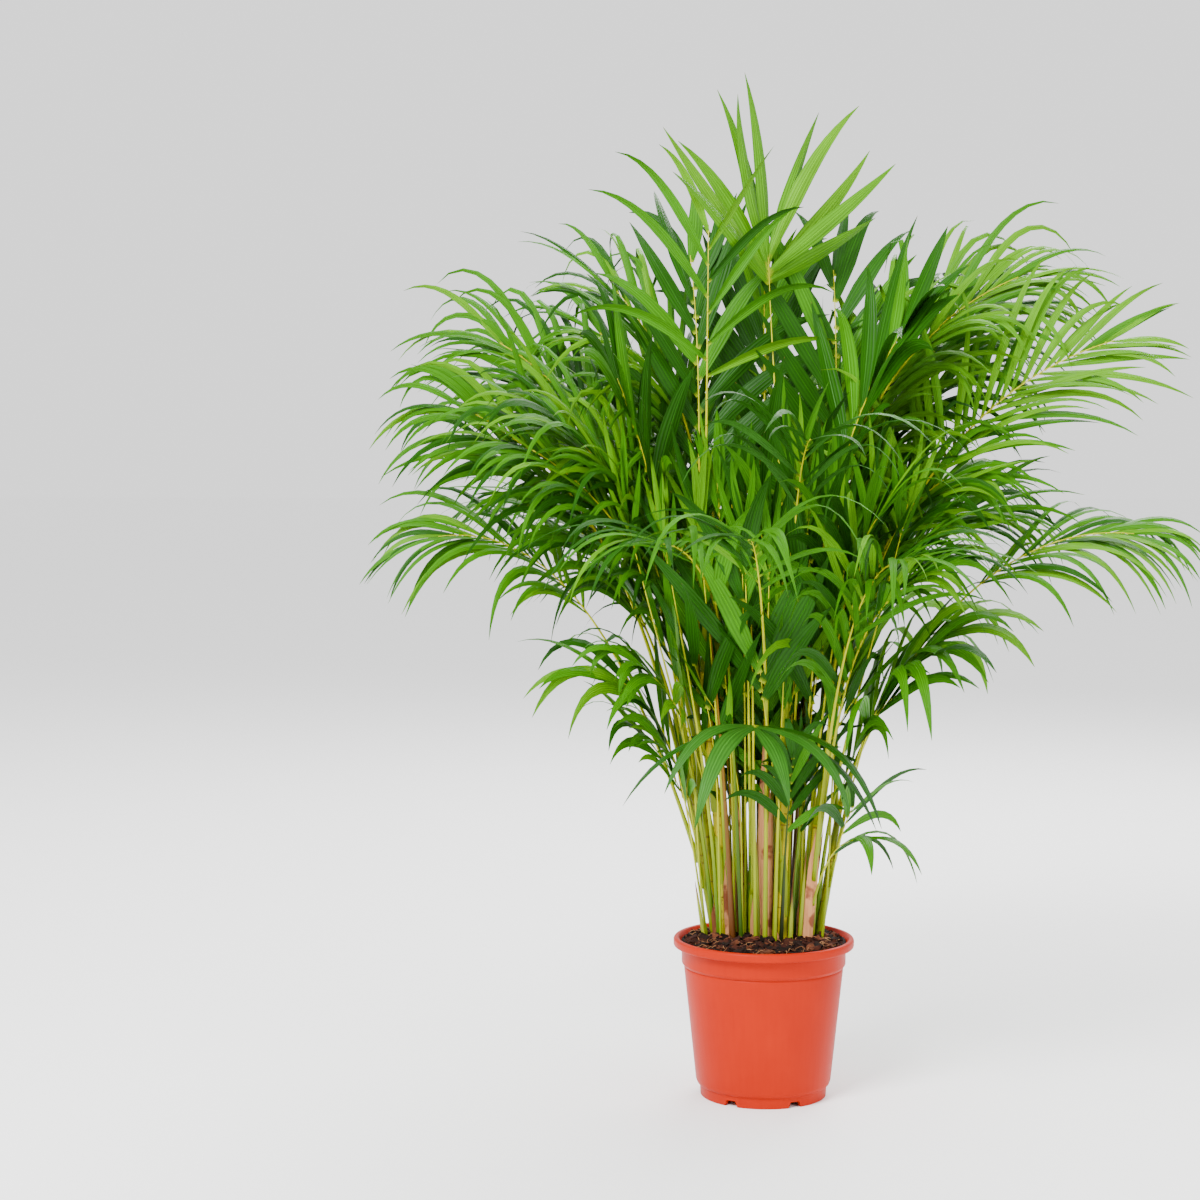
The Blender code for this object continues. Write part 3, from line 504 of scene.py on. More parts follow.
def youngStems(plan, kind, taken):
    # stems scattered over the clump, clear of the feet that are taken already
    rng = random.Random(plan["seed"])
    stems = {}
    while len(stems) < plan["count"]:
        away = plan["reach"] * math.sqrt(rng.random())
        turn = rng.uniform(0, 2 * math.pi)
        foot = (plan["middle"][0] + away * math.cos(turn), plan["middle"][1] + away * math.sin(turn))
        if min(math.dist(foot, other) for other in taken) < plan["spacing"]:
            continue
        taken.append(foot)
        rise = rng.uniform(*plan["rise"])
        lean = plan["lean"] * away / plan["reach"] + rng.uniform(-1, 1)
        out = (rise - soilTop / mm) * math.tan(math.radians(lean))
        stems[f"young_{kind}_{len(stems) + 1}"] = {
            "kind": kind, "foot": foot, "lean": lean * 0.6, "bow": lean * 1.6,
            "tip": (foot[0] + out * math.cos(turn), foot[1] + out * math.sin(turn), rise),
            "stalk": rng.uniform(*plan["stalk"]), "leaf": rng.uniform(*plan["leaf"]),
            "broad": plan["broad"], "tone": rng.choice(plan["tones"]),
            "rib": rng.choice(plan["ribs"])}
    return stems


def ribFoot(frond, turn, slide):
    # where a rib starts, and the level way it leaves in
    tip = Vector(frond["tip"]) * mm
    if "foot" in frond:
        foot = Vector((frond["foot"][0] * mm, frond["foot"][1] * mm, soilTop - 2 * mm))
        return foot, levelWay(foot, tip)
    cane = canePlan[frond["cane"]]
    if "height" in frond:
        foot, radius = caneAt(cane, frond["height"] * mm + slide)
        clear = radius + caneGrowth["gap"] + frond["stalk"] * mm * 0.5
    else:
        foot = caneAt(cane, cane["tip"] * mm)[0] + caneLine(cane)[1] * caneGrowth["gap"]
        clear = 0.0
    way = Matrix.Rotation(math.radians(turn), 3, "Z") @ levelWay(foot, tip)
    return foot + way * clear, way


def ribCurve(frond, shift):
    turn, tilt, slide = shift
    tip = Vector(frond["tip"]) * mm
    foot, way = ribFoot(frond, turn, slide)
    wayOut = levelWay(foot, tip)
    start = headingOf(way, math.radians(frond["lean"] + tilt))
    end = headingOf(wayOut, math.radians(frond["bow"]))
    span = (tip - foot).length
    places = interpolate_bezier(foot, foot + start * span * ribGrowth["footHandle"],
                                tip - end * span * ribGrowth["tipHandle"], tip,
                                ribGrowth["points"])
    return places, wayOut.cross(up)


def ribJoint(frond, curve, share):
    # the place on the rib at a share of its length, with its forward, side and upper directions
    places, across = curve
    spot = min(share, 1.0) * (len(places) - 1)
    index = min(int(spot), len(places) - 2)
    place = places[index].lerp(places[index + 1], spot - index)
    along = (places[min(index + 2, len(places) - 1)] - places[max(index - 1, 0)]).normalized()
    side = (across - along * across.dot(along)).normalized()
    roll = Matrix.Rotation(math.radians(frond.get("roll", 0)), 3, along)
    return place, along, roll @ side, roll @ side.cross(along)


def foundRib(frond):
    # of the source's tries for this rib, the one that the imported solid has
    node = frond["name"] + ("_stalk" if "split" in frond else "")
    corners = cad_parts[node].data.vertices
    tree = KDTree(len(corners))
    for number, corner in enumerate(corners):
        tree.insert(corner.co, number)
    tree.balance()
    rng = random.Random(frond["name"])
    best, found = 1.0, None
    for attempt in range(ribGrowth["tries"]):
        reach = attempt / ribGrowth["tries"]
        shift = (rng.uniform(-ribGrowth["turn"], ribGrowth["turn"]) * reach,
                 rng.uniform(*ribGrowth["tilt"]) * reach,
                 rng.uniform(-ribGrowth["slide"], ribGrowth["slide"]) * reach)
        curve = ribCurve(frond, shift)
        off = 0.0
        for share in (0.0, frond["bare"] * 0.5):
            place, along, side, upper = ribJoint(frond, curve, share)
            size = frond["stalk"] * mm * (1 - share) + ribGrowth["tipRadius"] * share
            off = max(off, tree.find(place - upper * size * 0.9)[2])
        if off < best:
            best, found = off, curve
    if best > 0.1 * mm:
        print("rib", frond["name"], "differs by", round(best / mm, 2), "mm")
    return found


def twinOf(frond, offset):
    # a second frond out of the same foot, whose rib parts from the first one's little by little
    places, across = frond["curve"]
    last = len(places) - 1
    parted = [place + Vector(offset) * mm * (number / last) ** 1.5
              for number, place in enumerate(places)]
    return dict(frond, name=frond["name"] + "_twin", nodes=[], curve=(parted, across))


def wholePlant():
    young = {f"young_{name}": dict(row, kind="bold") for name, row in youngPlan.items()}
    plans = {**frondPlan, **backFronds(), **young}
    taken = [plan["foot"] for plan in (*canePlan.values(), *young.values())]
    plans.update(youngStems(stemPlan, "spear", taken))
    plans.update(youngStems(lowPlan, "young", taken))
    for number, (foot, tip) in enumerate(frontStems):
        plans[f"young_front_{number + 1}"] = dict(frontPlan, foot=foot, tip=tip)
    fronds = {}
    for name, plan in plans.items():
        frond = {"name": f"frond_{name}", "nodes": [], **kindPlan[plan["kind"]], **plan}
        if "foot" in frond:
            frond["curve"] = ribCurve(frond, (0, 0, 0))
        else:
            frond["curve"] = foundRib(frond)
            frond["nodes"].append(frond["name"])
        if "split" in frond:
            frond["nodes"].append(frond["name"] + "_stalk")
        fronds[name] = frond
    for name, offset in twinPlan.items():
        fronds[name + "_twin"] = twinOf(fronds[name], offset)
    print("ribs found", len(fronds))
    return fronds


leafLook = {
    "newLeaf": (80, 144, 0),
    "brightLeaf": (90, 152, 0),
    "midLeaf": (60, 126, 0),
    "deepLeaf": (30, 84, 0),
    # the pale tone: a paler, greyer green, partly the leaflets' own colour and partly painted sheen for
    # the whitish gloss on hanging leaflets
    "paleLeaf": (50, 106, 26),
}
leafPlan = {"steps": 11, "twist": 34, "strayTone": 0.45, "gloss": 0.13, "peak": 0.4,
            "droop": 2.0, "angleSpread": 9, "riseSpread": 15, "lengthSpread": (0.82, 1.08),
            "limpSpread": (0.5, 1.4), "sway": 0.34, "missing": 0.05, "veins": 34,
            "outside": 8 * mm, "shorter": (1.0, 0.9, 0.8, 0.7, 0.6, 0.5), "widest": 0.34,
            "footTone": (150, 168, 12), "dryTone": (128, 98, 40)}
# for each kind: how many times the solid's leaflets it has, their width as a share of the
# solid's, how far they fold, and their tone; for some how much limper and longer they are, how
# bare the rib is and how far the leaflets swing to one side
leafKinds = table(("finer", "broad", "fold", "tone"), {
    "arching": (2.2, 0.74, 0.5, "midLeaf", {"limp": 0.78}),
    "feather": (2.0, 0.76, 0.45, "brightLeaf"),
    "dark": (1.15, 1.15, 0.3, "deepLeaf", {"limp": 1.8}),
    "upright": (1.0, 0.8, 0.5, "midLeaf", {"limp": 1.5}),
    "fan": (1.2, 0.85, 0.45, "newLeaf", {"bare": 0.93, "swing": 11}),
    "hand": (1.2, 1.2, 0.25, "paleLeaf", {"limp": 0.75, "long": 1.2}),
    "young": (1.3, 1.0, 0.3, "midLeaf"),
    "bold": (1.3, 1.0, 0.35, "midLeaf"),
    "spear": (1.5, 0.7, 0.45, "brightLeaf"),
})
# the tone of each frond that differs from its kind
toneOf = {"top_spear": "newLeaf", "right_upper_arch": "brightLeaf", "right_upper_inner": "brightLeaf",
          "front_dark_vee": "deepLeaf", "front_right_droop": "paleLeaf", "young_left": "deepLeaf",
          "young_centre": "deepLeaf", "young_right": "deepLeaf", "young_right_low": "deepLeaf",
          "young_centre_high": "deepLeaf", "young_centre_low": "deepLeaf",
          "young_left_low": "deepLeaf"}
# fronds with fewer or more leaflets than their kind
sparse = {"right_small_upper": 0.6, "right_small_lower": 0.5, "front_left_droop": 0.6,
          "front_right_droop": 0.5, "front_arch": 0.5, "front_right_low": 0.7,
          "left_centre_upright": 0.85, "right_low_broad": 1.4, "left_low_front": 1.3,
          "left_small": 1.1, "young_left_low": 0.6, "young_left": 0.6, "young_centre_low": 0.6,
          "young_centre": 0.6, "young_right_low": 0.6, "young_right": 0.6, "young_low_left": 0.6,
          "young_low_right": 0.6, "young_low_out": 0.6, "young_centre_high": 0.75}
# fronds whose leaflets are broader than their kind's
broader = {"right_centre_dark": 1.2, "left_centre_dark": 1.2, "right_small_lower": 1.3,
           "left_low_front": 1.2}


def leafFinish(name, look):
    finish = Finish(name, roughness=0.4, gloss=leafPlan["gloss"])
    across, along = finish.map()
    vein = ((across * leafPlan["veins"]).sine() * 0.5 + 0.5) ** 1.5
    middle = 1 - finish.fade(abs(across - 0.5), 0.0, 0.045)
    patch = finish.cloud(0.05)
    blade = finish.mix(patch, paint(look, 0.55), paint(look, 1.35))
    blade = finish.mix(vein * 0.55, blade, paint(look, 0.42))
    blade = finish.mix(middle * 0.6, blade, paint(look, 1.9))
    blade = finish.mix(1 - finish.fade(along, 0.0, 0.04), blade, paint(leafPlan["footTone"]))
    blade = finish.mix(finish.fade(along, 0.98, 1.0) * 0.7, blade, paint(leafPlan["dryTone"]))
    return finish.close(blade, vein * 0.5 + middle, 0.5 * mm, 0.34 + patch * 0.16)


def fullnessAt(frond, share):
    if share < leafPlan["peak"]:
        return 1 - (1 - frond["first"]) * (1 - share / leafPlan["peak"]) ** 2
    beyond = (share - leafPlan["peak"]) / (1 - leafPlan["peak"])
    return 1 - (1 - frond["last"]) * beyond ** 2


def breadthAt(share):
    # the outline of a leaflet: a narrow foot, widest before the middle, then a long point
    widest = leafPlan["widest"]
    foot = min(1.0, 0.3 + 0.7 * (share / widest) ** 0.8)
    point = 1 - max(0.0, (share - widest) / (1 - widest)) ** 1.9
    return foot * point


def inReach(spot):
    return all(low - leafPlan["outside"] < part < high + leafPlan["outside"]
               for low, part, high in zip(cadBox[0], spot, cadBox[1]))


def leafletWays(spot, heading, width, length, limp, sway):
    # the places along a leaflet's middle, each with its forward and its sideways direction
    steps = leafPlan["steps"]
    ways = [(spot, heading, width)]
    for step in range(steps):
        bent = ((step + 0.5) / steps) ** leafPlan["droop"]
        way = (heading - up * limp * bent + width * sway * bent).normalized()
        width = (width - way * width.dot(way)).normalized()
        spot = spot + way * length / steps
        ways.append((spot, way, width))
    return ways


def growLeaflet(bundle, frond, joint, side, share, rng, tone):
    place, along, across, upper = joint
    kind = leafKinds[frond["kind"]]
    swing = Matrix.Rotation(math.radians(kind.get("swing", 0)), 3, up.cross(frond["curve"][1]))
    along, across = swing @ along, swing @ across
    angle = frond["wide"] + (frond["close"] - frond["wide"]) * share
    angle = math.radians(angle + rng.uniform(-1, 1) * leafPlan["angleSpread"])
    rise = math.radians(frond["vee"] + rng.uniform(-1, 1) * leafPlan["riseSpread"])
    outward = across * side * math.cos(rise) + upper * math.sin(rise)
    heading = along * math.cos(angle) + outward * math.sin(angle)
    fullness = fullnessAt(frond, share)
    length = frond["leaf"] * mm * fullness * rng.uniform(*leafPlan["lengthSpread"])
    length *= kind.get("long", 1)
    limp = frond["limp"] * kind.get("limp", 1) * rng.uniform(*leafPlan["limpSpread"])
    sway = rng.uniform(-1, 1) * leafPlan["sway"]
    half = frond["broad"] * mm / 2 * (0.7 + 0.3 * fullness) * kind["broad"]
    half *= broader.get(frond["name"].removeprefix("frond_"), 1)
    width = (along - heading * along.dot(heading)).normalized()
    turned = 1 if width.cross(heading).dot(upper) > 0 else -1
    twist = math.radians(rng.uniform(-1, 1) * leafPlan["twist"])
    for less in leafPlan["shorter"]:
        ways = leafletWays(place, heading, width, length * less, limp, sway)
        if inReach(ways[-1][0]) and inReach(ways[len(ways) // 2][0]):
            break
    rows, reaches = [], []
    for step, (spot, way, width) in enumerate(ways):
        reach = step / leafPlan["steps"]
        flat = Matrix.Rotation(twist * reach, 3, way) @ width
        face = flat.cross(way) * turned
        size = half * max(breadthAt(reach), 0.02)
        fold = kind["fold"] * (1 - 0.75 * reach)
        rows.append([spot + flat * column * size * turned - face * abs(column) * fold * size
                     for column in (-1.0, -0.5, 0.0, 0.5, 1.0)])
        reaches.append(reach)
    bundle.skin(rows, reaches, tone)


def growFoliage(fronds, groups):
    finishes = [leafFinish(name, look) for name, look in leafLook.items()]
    for group, names in groups.items():
        bundle = Bundle()
        for name in names:
            frond = fronds[name]
            kind = leafKinds[frond["kind"]]
            rng = random.Random(frond["name"] + " fine leaflets")
            base = list(leafLook).index(frond.get("tone") or toneOf.get(name, kind["tone"]))
            slots = round(frond["pairs"] * 2 * kind["finer"] * sparse.get(name, 1))
            bare = kind.get("bare", frond["bare"])
            for slot in range(slots):
                share = (slot + 0.5) / slots
                joint = ribJoint(frond, frond["curve"], bare + (1 - bare) * share)
                tone = base
                if rng.random() < leafPlan["strayTone"]:
                    tone = min(max(base + rng.choice((-1, 1)), 0), 3)
                if rng.random() > leafPlan["missing"]:
                    growLeaflet(bundle, frond, joint, 1 if slot % 2 else -1, share, rng, tone)
        nodes = [node for name in names for node in fronds[name]["nodes"]]
        bundle.piece(f"leaflets_{group}", finishes, "new_frond" if group == "top" else "frond",
                     nodes)


ribPlan = {"rows": 36, "sides": 8, "flat": 0.8, "taper": 1.3, "tip": 0.4 * mm, "neck": 0.10,
           "neckSize": 0.98, "neckEase": 1.6, "sheathDrop": 62 * mm, "sheathRise": 6 * mm,
           "sheathRows": 10, "sheathColumns": 12, "clasp": 150, "narrow": 118}
# the colours of a rib at its foot, at its tip and in its streaks
ribLook = {
    "ribYellow": ((138, 152, 0), (212, 208, 0), (84, 112, 0)),
    "ribRising": ((66, 104, 0), (216, 218, 0), (96, 130, 0)),
    "ribGreen": ((44, 74, 0), (104, 134, 0), (28, 52, 0)),
    "ribBrown": ((96, 52, 14), (140, 104, 4), (62, 36, 10)),
    # the last, near-black greens, are painted shade for the stems deep inside the clump
    "ribDark": ((26, 34, 4), (52, 78, 0), (14, 22, 2)),
}


def ribFinish(name, look):
    foot, tip, streaks = look
    finish = Finish(name, roughness=0.4, gloss=0.22)
    along = finish.map()[1]
    streak = finish.cloud(0.004, 2.0, (1.0, 1.0, 0.06))
    tint = finish.mix(finish.fade(along, 0.0, 0.6), paint(foot), paint(tip))
    tint = finish.mix(streak * 0.6, tint, paint(streaks))
    return finish.close(tint, streak, 0.2 * mm, 0.3 + streak * 0.2)


def growRib(bundle, frond):
    plan = ribPlan
    tone = list(ribLook).index(frond.get("rib", "ribYellow"))
    atTip = "cane" in frond and "height" not in frond
    rows, lengths = [], []
    for number in range(plan["rows"] + 1):
        share = number / plan["rows"]
        place, along, side, upper = ribJoint(frond, frond["curve"], share)
        size = frond["stalk"] * mm * (1 - share) ** plan["taper"] + plan["tip"] * share
        if atTip and share < plan["neck"]:
            near = (1 - share / plan["neck"]) ** plan["neckEase"]
            caneRadius = caneAt(canePlan[frond["cane"]], frond["curve"][0][0].z)[1]
            size += (caneRadius * plan["neckSize"] - size) * near
        flat = plan["flat"] + (1 - plan["flat"]) * max(0.0, 1 - share * 6)
        rows.append(tubeRing(place, side, -upper, size, plan["sides"], flat))
        lengths.append(share)
    bundle.tube(rows, lengths, tone)
    if frond["nodes"] and not atTip:
        growSheath(bundle, canePlan[frond["cane"]], frond)


def growSheath(bundle, cane, frond):
    # the foot of a stalk clasps its cane and narrows up into the stalk
    plan = ribPlan
    foot = frond["curve"][0][0]
    centre = caneAt(cane, foot.z)[0]
    facing = math.atan2(foot.y - centre.y, foot.x - centre.x)
    rows = []
    for number in range(plan["sheathRows"] + 1):
        rise = number / plan["sheathRows"]
        height = foot.z - plan["sheathDrop"] * (1 - rise) + plan["sheathRise"]
        middle, radius = caneAt(cane, max(height, soilTop + 1 * mm))
        reach = math.radians(plan["clasp"] - plan["narrow"] * rise ** 1.6)
        size = radius + 0.5 * mm + frond["stalk"] * mm * 0.9 * rise ** 2
        row = []
        for column in range(plan["sheathColumns"] + 1):
            off = column / plan["sheathColumns"] * 2 - 1
            thick = size - (size - radius - 0.15 * mm) * off ** 2
            row.append(middle + onGround(thick, facing + off * reach))
        rows.append(row)
    bundle.skin(rows, [0.0] * len(rows))


def growRibs(fronds):
    bundle = Bundle()
    for frond in fronds.values():
        growRib(bundle, frond)
    nodes = [node for frond in fronds.values() for node in frond["nodes"]]
    bundle.piece("ribs", [ribFinish(*look) for look in ribLook.items()], "frond", nodes)


caneLook = {"seed": 11, "sides": 18, "ringGap": (34, 62), "ring": 0.035, "ringReach": 0.06,
            "belly": 0.03, "parts": (0.0, 0.03, 0.08, 0.3, 0.6, 0.92, 0.97),
            "wander": 1.8 * mm, "wanderings": 12, "straightEnds": 20 * mm,
            "green": (38, 82, 0), "yellow": (216, 194, 0), "streaks": (108, 120, 0),
            "patches": (58, 90, 0), "foot": (96, 58, 8), "scars": (90, 62, 10),
            "spots": (84, 58, 8)}


def caneFinish():
    finish = Finish("caneSkin", roughness=0.4, gloss=0.22)
    yellow, rings = finish.map()
    scar = 1 - finish.fade(0.5 - abs(rings.fraction() - 0.5), 0.0, 0.035)
    streak = finish.cloud(0.006, 3.0, (1.0, 1.0, 0.1))
    patch = finish.fade(finish.cloud(0.03), 0.48, 0.7)
    low = 1 - finish.fade(finish.part(finish.place(), 2), soilTop, soilTop + 50 * mm)
    spots = finish.fade(finish.cloud(0.005, 2.0), 0.6, 0.66)
    skin = finish.mix(yellow, paint(caneLook["green"]), paint(caneLook["yellow"]))
    for share, tone in ((streak * 0.5, "streaks"), (patch * 0.7, "patches"), (low * 0.35, "foot"),
                        (scar * 0.75, "scars"), (spots * 0.6, "spots")):
        skin = finish.mix(share, skin, paint(caneLook[tone]))
    return finish.close(skin, streak * 0.6 + scar * 0.8, 0.3 * mm, 0.32 + streak * 0.25)


def caneStations(cane, rng):
    # where the rings of a cane lie, and every place at which it is shaped
    look = caneLook
    foot, heading, length = caneLine(cane)
    rings = [0.0]
    while rings[-1] < length:
        rings.append(rings[-1] + rng.uniform(*look["ringGap"]) * mm)
    stations = []
    for first, second in zip(rings, rings[1:]):
        for part in look["parts"]:
            far = first + (second - first) * part
            if far > length - 2 * mm:
                break
            size = cane["radius"] * mm * (1 - (1 - caneGrowth["taper"]) * far / length)
            flare = max(0.0, 1 - far / caneGrowth["flareHeight"])
            size *= 1 + (caneGrowth["flare"] - 1) * flare ** 1.5
            size *= 1 + look["belly"] * math.sin(math.pi * part)
            size *= 1 + look["ring"] * max(0.0, 1 - min(part, 1 - part) / look["ringReach"])
            spot = Vector((far * look["wanderings"], cane["radius"] * 0.9, 1.0))
            wander = Vector((noise.noise(spot), noise.noise(spot + up * 6), 0.0)) * look["wander"]
            for end in (far, length - far):
                wander *= min(1.0, end / look["straightEnds"])
            stations.append((foot + heading * far + wander, size))
    stations.append((foot + heading * length, cane["radius"] * mm * caneGrowth["taper"]))
    return rings, stations


def growCane(cane, rng):
    rings, stations = caneStations(cane, rng)
    foot, heading = caneLine(cane)[:2]
    thing = turnedBody(caneLook["sides"], stations)
    thing.data.shade_smooth()
    grain = thing.data.uv_layers[0]
    grain.name = "grain"
    for loop in thing.data.loops:
        far = (thing.data.vertices[loop.vertex_index].co.z - foot.z) / heading.z
        ring = max(number for number, start in enumerate(rings) if start <= max(far, 0.0))
        gap = rings[min(ring + 1, len(rings) - 1)] - rings[ring] or mm
        grain.data[loop.index].uv = (cane["yellow"], ring + (far - rings[ring]) / gap)
    return thing


def growCanes():
    rng = random.Random(caneLook["seed"])
    canes = joined([growCane(cane, rng) for cane in canePlan.values()])
    canes.name = "canes"
    canes.data.materials.append(caneFinish())
    settle(canes, [f"cane_{name}" for name in canePlan])


huskPlan = {
    # cane: where it starts and ends above the soil in mm, the way it faces and its half width
    # in degrees, and how far it stands off the cane in the middle in mm
    "centre": (1, 222, -96, 100, 2.6), "right": (2, 128, -80, 80, 1.6),
    "inner_right": (2, 104, -100, 60, 1.2), "centre_left": (2, 60, -60, 60, 0.8),
    "front_right": (1, 22, -150, 50, 0.4), "front_left": (2, 88, -60, 40, 0.6),
    "inner_left": (2, 150, -80, 70, 1.4), "left": (3, 40, -60, 50, 0.6),
    "back_centre": (3, 160, 80, 80, 1.8), "back_inner_left": (2, 60, 110, 60, 0.8),
    "back_right": (2, 110, 40, 70, 1.2), "back_left": (3, 66, 140, 60, 0.8),
}
huskLook = {"seed": 23, "columns": 13, "rows": 22, "lift": 0.5 * mm, "lean": 4.5 * mm,
            "ragged": 0.2, "foot": 0.25, "dark": (164, 96, 52), "light": (232, 170, 116),
            "stains": (112, 44, 22), "tip": (150, 78, 50)}
shootPlan = (
    # foot in mm, height in mm, lean towards +X in degrees, radius in mm
    (26, -12, 58, 2, 2.4), (35, -2, 98, 4, 2.2), (-5, -8, 120, -1, 1.7), (-29, 2, 84, -5, 2.0),
    (8, 26, 88, 1, 2.2), (-34, 36, 74, -7, 2.2), (50, 32, 62, 8, 2.2), (-58, 2, 66, -9, 1.8),
)
shootLook = {"rows": 10, "sides": 8, "flat": 0.8, "tip": 0.15 * mm, "green": (92, 132, 4),
             "streaks": (160, 156, 18), "end": (108, 56, 22), "foot": (120, 78, 36)}


def huskFinish():
    look = huskLook
    finish = Finish("dryHusk", roughness=0.75, gloss=0.25)
    along = finish.map()[1]
    fibre = finish.cloud(0.0022, 3.0, (1.0, 1.0, 0.05))
    patch = finish.fade(finish.cloud(0.02), 0.54, 0.64)
    tint = finish.mix(fibre, paint(look["dark"]), paint(look["light"]))
    tint = finish.mix(patch * 0.8, tint, paint(look["stains"]))
    tint = finish.mix(finish.fade(along, 0.8, 1.0) * 0.5, tint, paint(look["tip"]))
    return finish.close(tint, fibre, 0.4 * mm, 0.65 + fibre * 0.2)


def growHusk(bundle, cane, plan, rng):
    low, high, facing, breadth, swell = plan
    look = huskLook
    edge = rng.uniform(0, 20)
    rows, lengths = [], []
    for number in range(look["rows"] + 1):
        rise = number / look["rows"]
        row = []
        for column in range(look["columns"]):
            off = column / (look["columns"] - 1) * 2 - 1
            torn = noise.noise(Vector((edge + off * 2.2, rise * 6, high))) * look["ragged"]
            reach = math.radians(breadth) * max(0.04, 1 - rise ** 2.4 + torn * rise)
            height = soilTop + (low + (high - low) * rise * (1 - 0.06 * abs(off))) * mm
            middle, radius = caneAt(cane, height)
            size = radius * (1 + look["foot"] * max(0, 1 - rise * 6))
            size += look["lift"] * (1 + abs(torn) * 6) + look["lean"] * rise ** 4
            size += swell * mm * math.sin(math.pi * rise)
            row.append(middle + onGround(size, math.radians(facing) + off * reach))
        rows.append(row)
        lengths.append(rise)
    bundle.skin(rows, lengths)


def growShoot(bundle, plan):
    x, y, tall, lean, radius = plan
    look = shootLook
    foot = Vector((x * mm, y * mm, soilTop - 1 * mm))
    heading = headingOf(Vector((1.0, 0.0, 0.0)), math.radians(lean))
    side = heading.cross(Vector((0.0, 1.0, 0.0)))
    rows, lengths = [], []
    for number in range(look["rows"] + 1):
        share = number / look["rows"]
        size = radius * mm * (1 - share ** 2.5) + look["tip"]
        rows.append(tubeRing(foot + heading * tall * mm * share, side, heading.cross(side), size,
                             look["sides"], look["flat"]))
        lengths.append(share)
    bundle.tube(rows, lengths)


def shootFinish():
    look = shootLook
    finish = Finish("youngShoot", roughness=0.4, gloss=0.35)
    along = finish.map()[1]
    streak = finish.cloud(0.003, 2.0, (1.0, 1.0, 0.08))
    tint = finish.mix(streak, paint(look["green"]), paint(look["streaks"]))
    tint = finish.mix(finish.fade(along, 0.6, 0.95), tint, paint(look["end"]))
    tint = finish.mix(1 - finish.fade(along, 0.0, 0.2), tint, paint(look["foot"]))
    return finish.close(tint, streak, 0.2 * mm)


def growHusks():
    rng = random.Random(huskLook["seed"])
    husks = Bundle()
    for name, plan in huskPlan.items():
        growHusk(husks, canePlan[name], plan, rng)
    husks.piece("husks", [huskFinish()], "cane", [])
    shoots = Bundle()
    for plan in shootPlan:
        growShoot(shoots, plan)
    shoots.piece("shoots", [shootFinish()], "cane", [])


soilPlan = {"seed": 5, "radius": 81.4 * mm, "rings": 34, "sectors": 96, "heap": 6.0 * mm,
            "rough": 1.8 * mm, "mound": 2.5 * mm, "skirt": 12 * mm, "skirtRadius": 79.2 * mm,
            "chips": 470, "chipSize": (4.0, 12.0), "chipShake": 0.16, "caneRoom": 6 * mm,
            "crumbs": 1000, "crumbSize": (1.2, 3.2), "fibres": 130, "fibreSteps": 8,
            "fibreStep": 2.4 * mm, "fibreRadius": 0.32 * mm, "fibreLift": 2.0 * mm,
            "fibreWave": 1.2 * mm}
chipShapes = ((1.0, 0.55, 0.3), (1.0, 0.8, 0.38), (1.0, 0.35, 0.3))
# the dark and the light of each of the soil's materials
soilLook = {"darkSoil": ((16, 6, 3), (34, 14, 7)), "barkBrown": ((40, 15, 8), (72, 31, 16)),
            "barkPale": ((68, 32, 18), (108, 58, 34)), "paleFibre": ((130, 82, 52), (176, 128, 88))}


def soilFinish(name):
    dark, light = soilLook[name]
    finish = Finish(name, roughness=0.9, gloss=0.2)
    grain = finish.cloud(0.0025, 4.0)
    patch = finish.cloud(0.012)
    tint = finish.mix(finish.fade(patch, 0.35, 0.65), paint(dark), paint(light))
    tint = finish.mix(grain * 0.5, tint, paint(dark, 0.5))
    return finish.close(tint, grain, 0.6 * mm)


def onSoil(spot):
    # the spot, lifted to the soil's uneven surface
    rough = noise.fractal(Vector((spot.x, spot.y, 3.0)) * 90, 0.8, 2.0, 4) * soilPlan["rough"]
    mound = soilPlan["mound"] * (1 - (math.hypot(spot.x, spot.y) / soilPlan["radius"]) ** 2)
    return Vector((spot.x, spot.y, soilTop + soilPlan["heap"] + rough + mound))


def shapedChips():
    # chips of bark, each shaped once from a cube and then copied by the hundred
    shapes = []
    for number, shape in enumerate(chipShapes):
        bpy.ops.mesh.primitive_cube_add(size=1.0, location=(0, 0, 0))
        chip = bpy.context.object
        bpy.ops.object.mode_set(mode="EDIT")
        bpy.ops.mesh.select_all(action="SELECT")
        bpy.ops.transform.resize(value=shape, center_override=(0, 0, 0))
        bpy.ops.mesh.subdivide(number_cuts=1)
        bpy.ops.transform.vertex_random(offset=soilPlan["chipShake"], uniform=1.0, normal=0.0,
                                        seed=number + 3)
        bpy.ops.object.mode_set(mode="OBJECT")
        shapes.append(([corner.co.copy() for corner in chip.data.vertices],
                       [tuple(face.vertices) for face in chip.data.polygons]))
        bpy.data.objects.remove(chip)
    return shapes


def clearOfCanes(spot, room):
    return all(math.hypot(spot.x - cane["foot"][0] * mm, spot.y - cane["foot"][1] * mm) > room
               for cane in canePlan.values())


def makeBed(finish):
    bed = Bundle()
    rings, sectors = soilPlan["rings"], soilPlan["sectors"]
    rows, lengths = [], []
    for number in range(rings + 1):
        radius = soilPlan["radius"] * max(number / rings, 0.004)
        rows.append([onSoil(onGround(radius, 2 * math.pi * sector / sectors))
                     for sector in range(sectors)])
        lengths.append(number / rings)
    inwards = soilPlan["skirtRadius"] / soilPlan["radius"]
    rows.append([Vector((spot.x * inwards, spot.y * inwards, soilTop - soilPlan["skirt"]))
                 for spot in rows[-1]])
    lengths.append(1.0)
    rows.reverse()
    lengths.reverse()
    start = bed.skin(rows, lengths, 0, True)
    bed.cap(start, sectors, 1.0, 0, True)
    bed.cap(start + sectors * (rings + 1), sectors, 0.0)
    bed.piece("soil_bed", [finish], "soil", ["soil"])


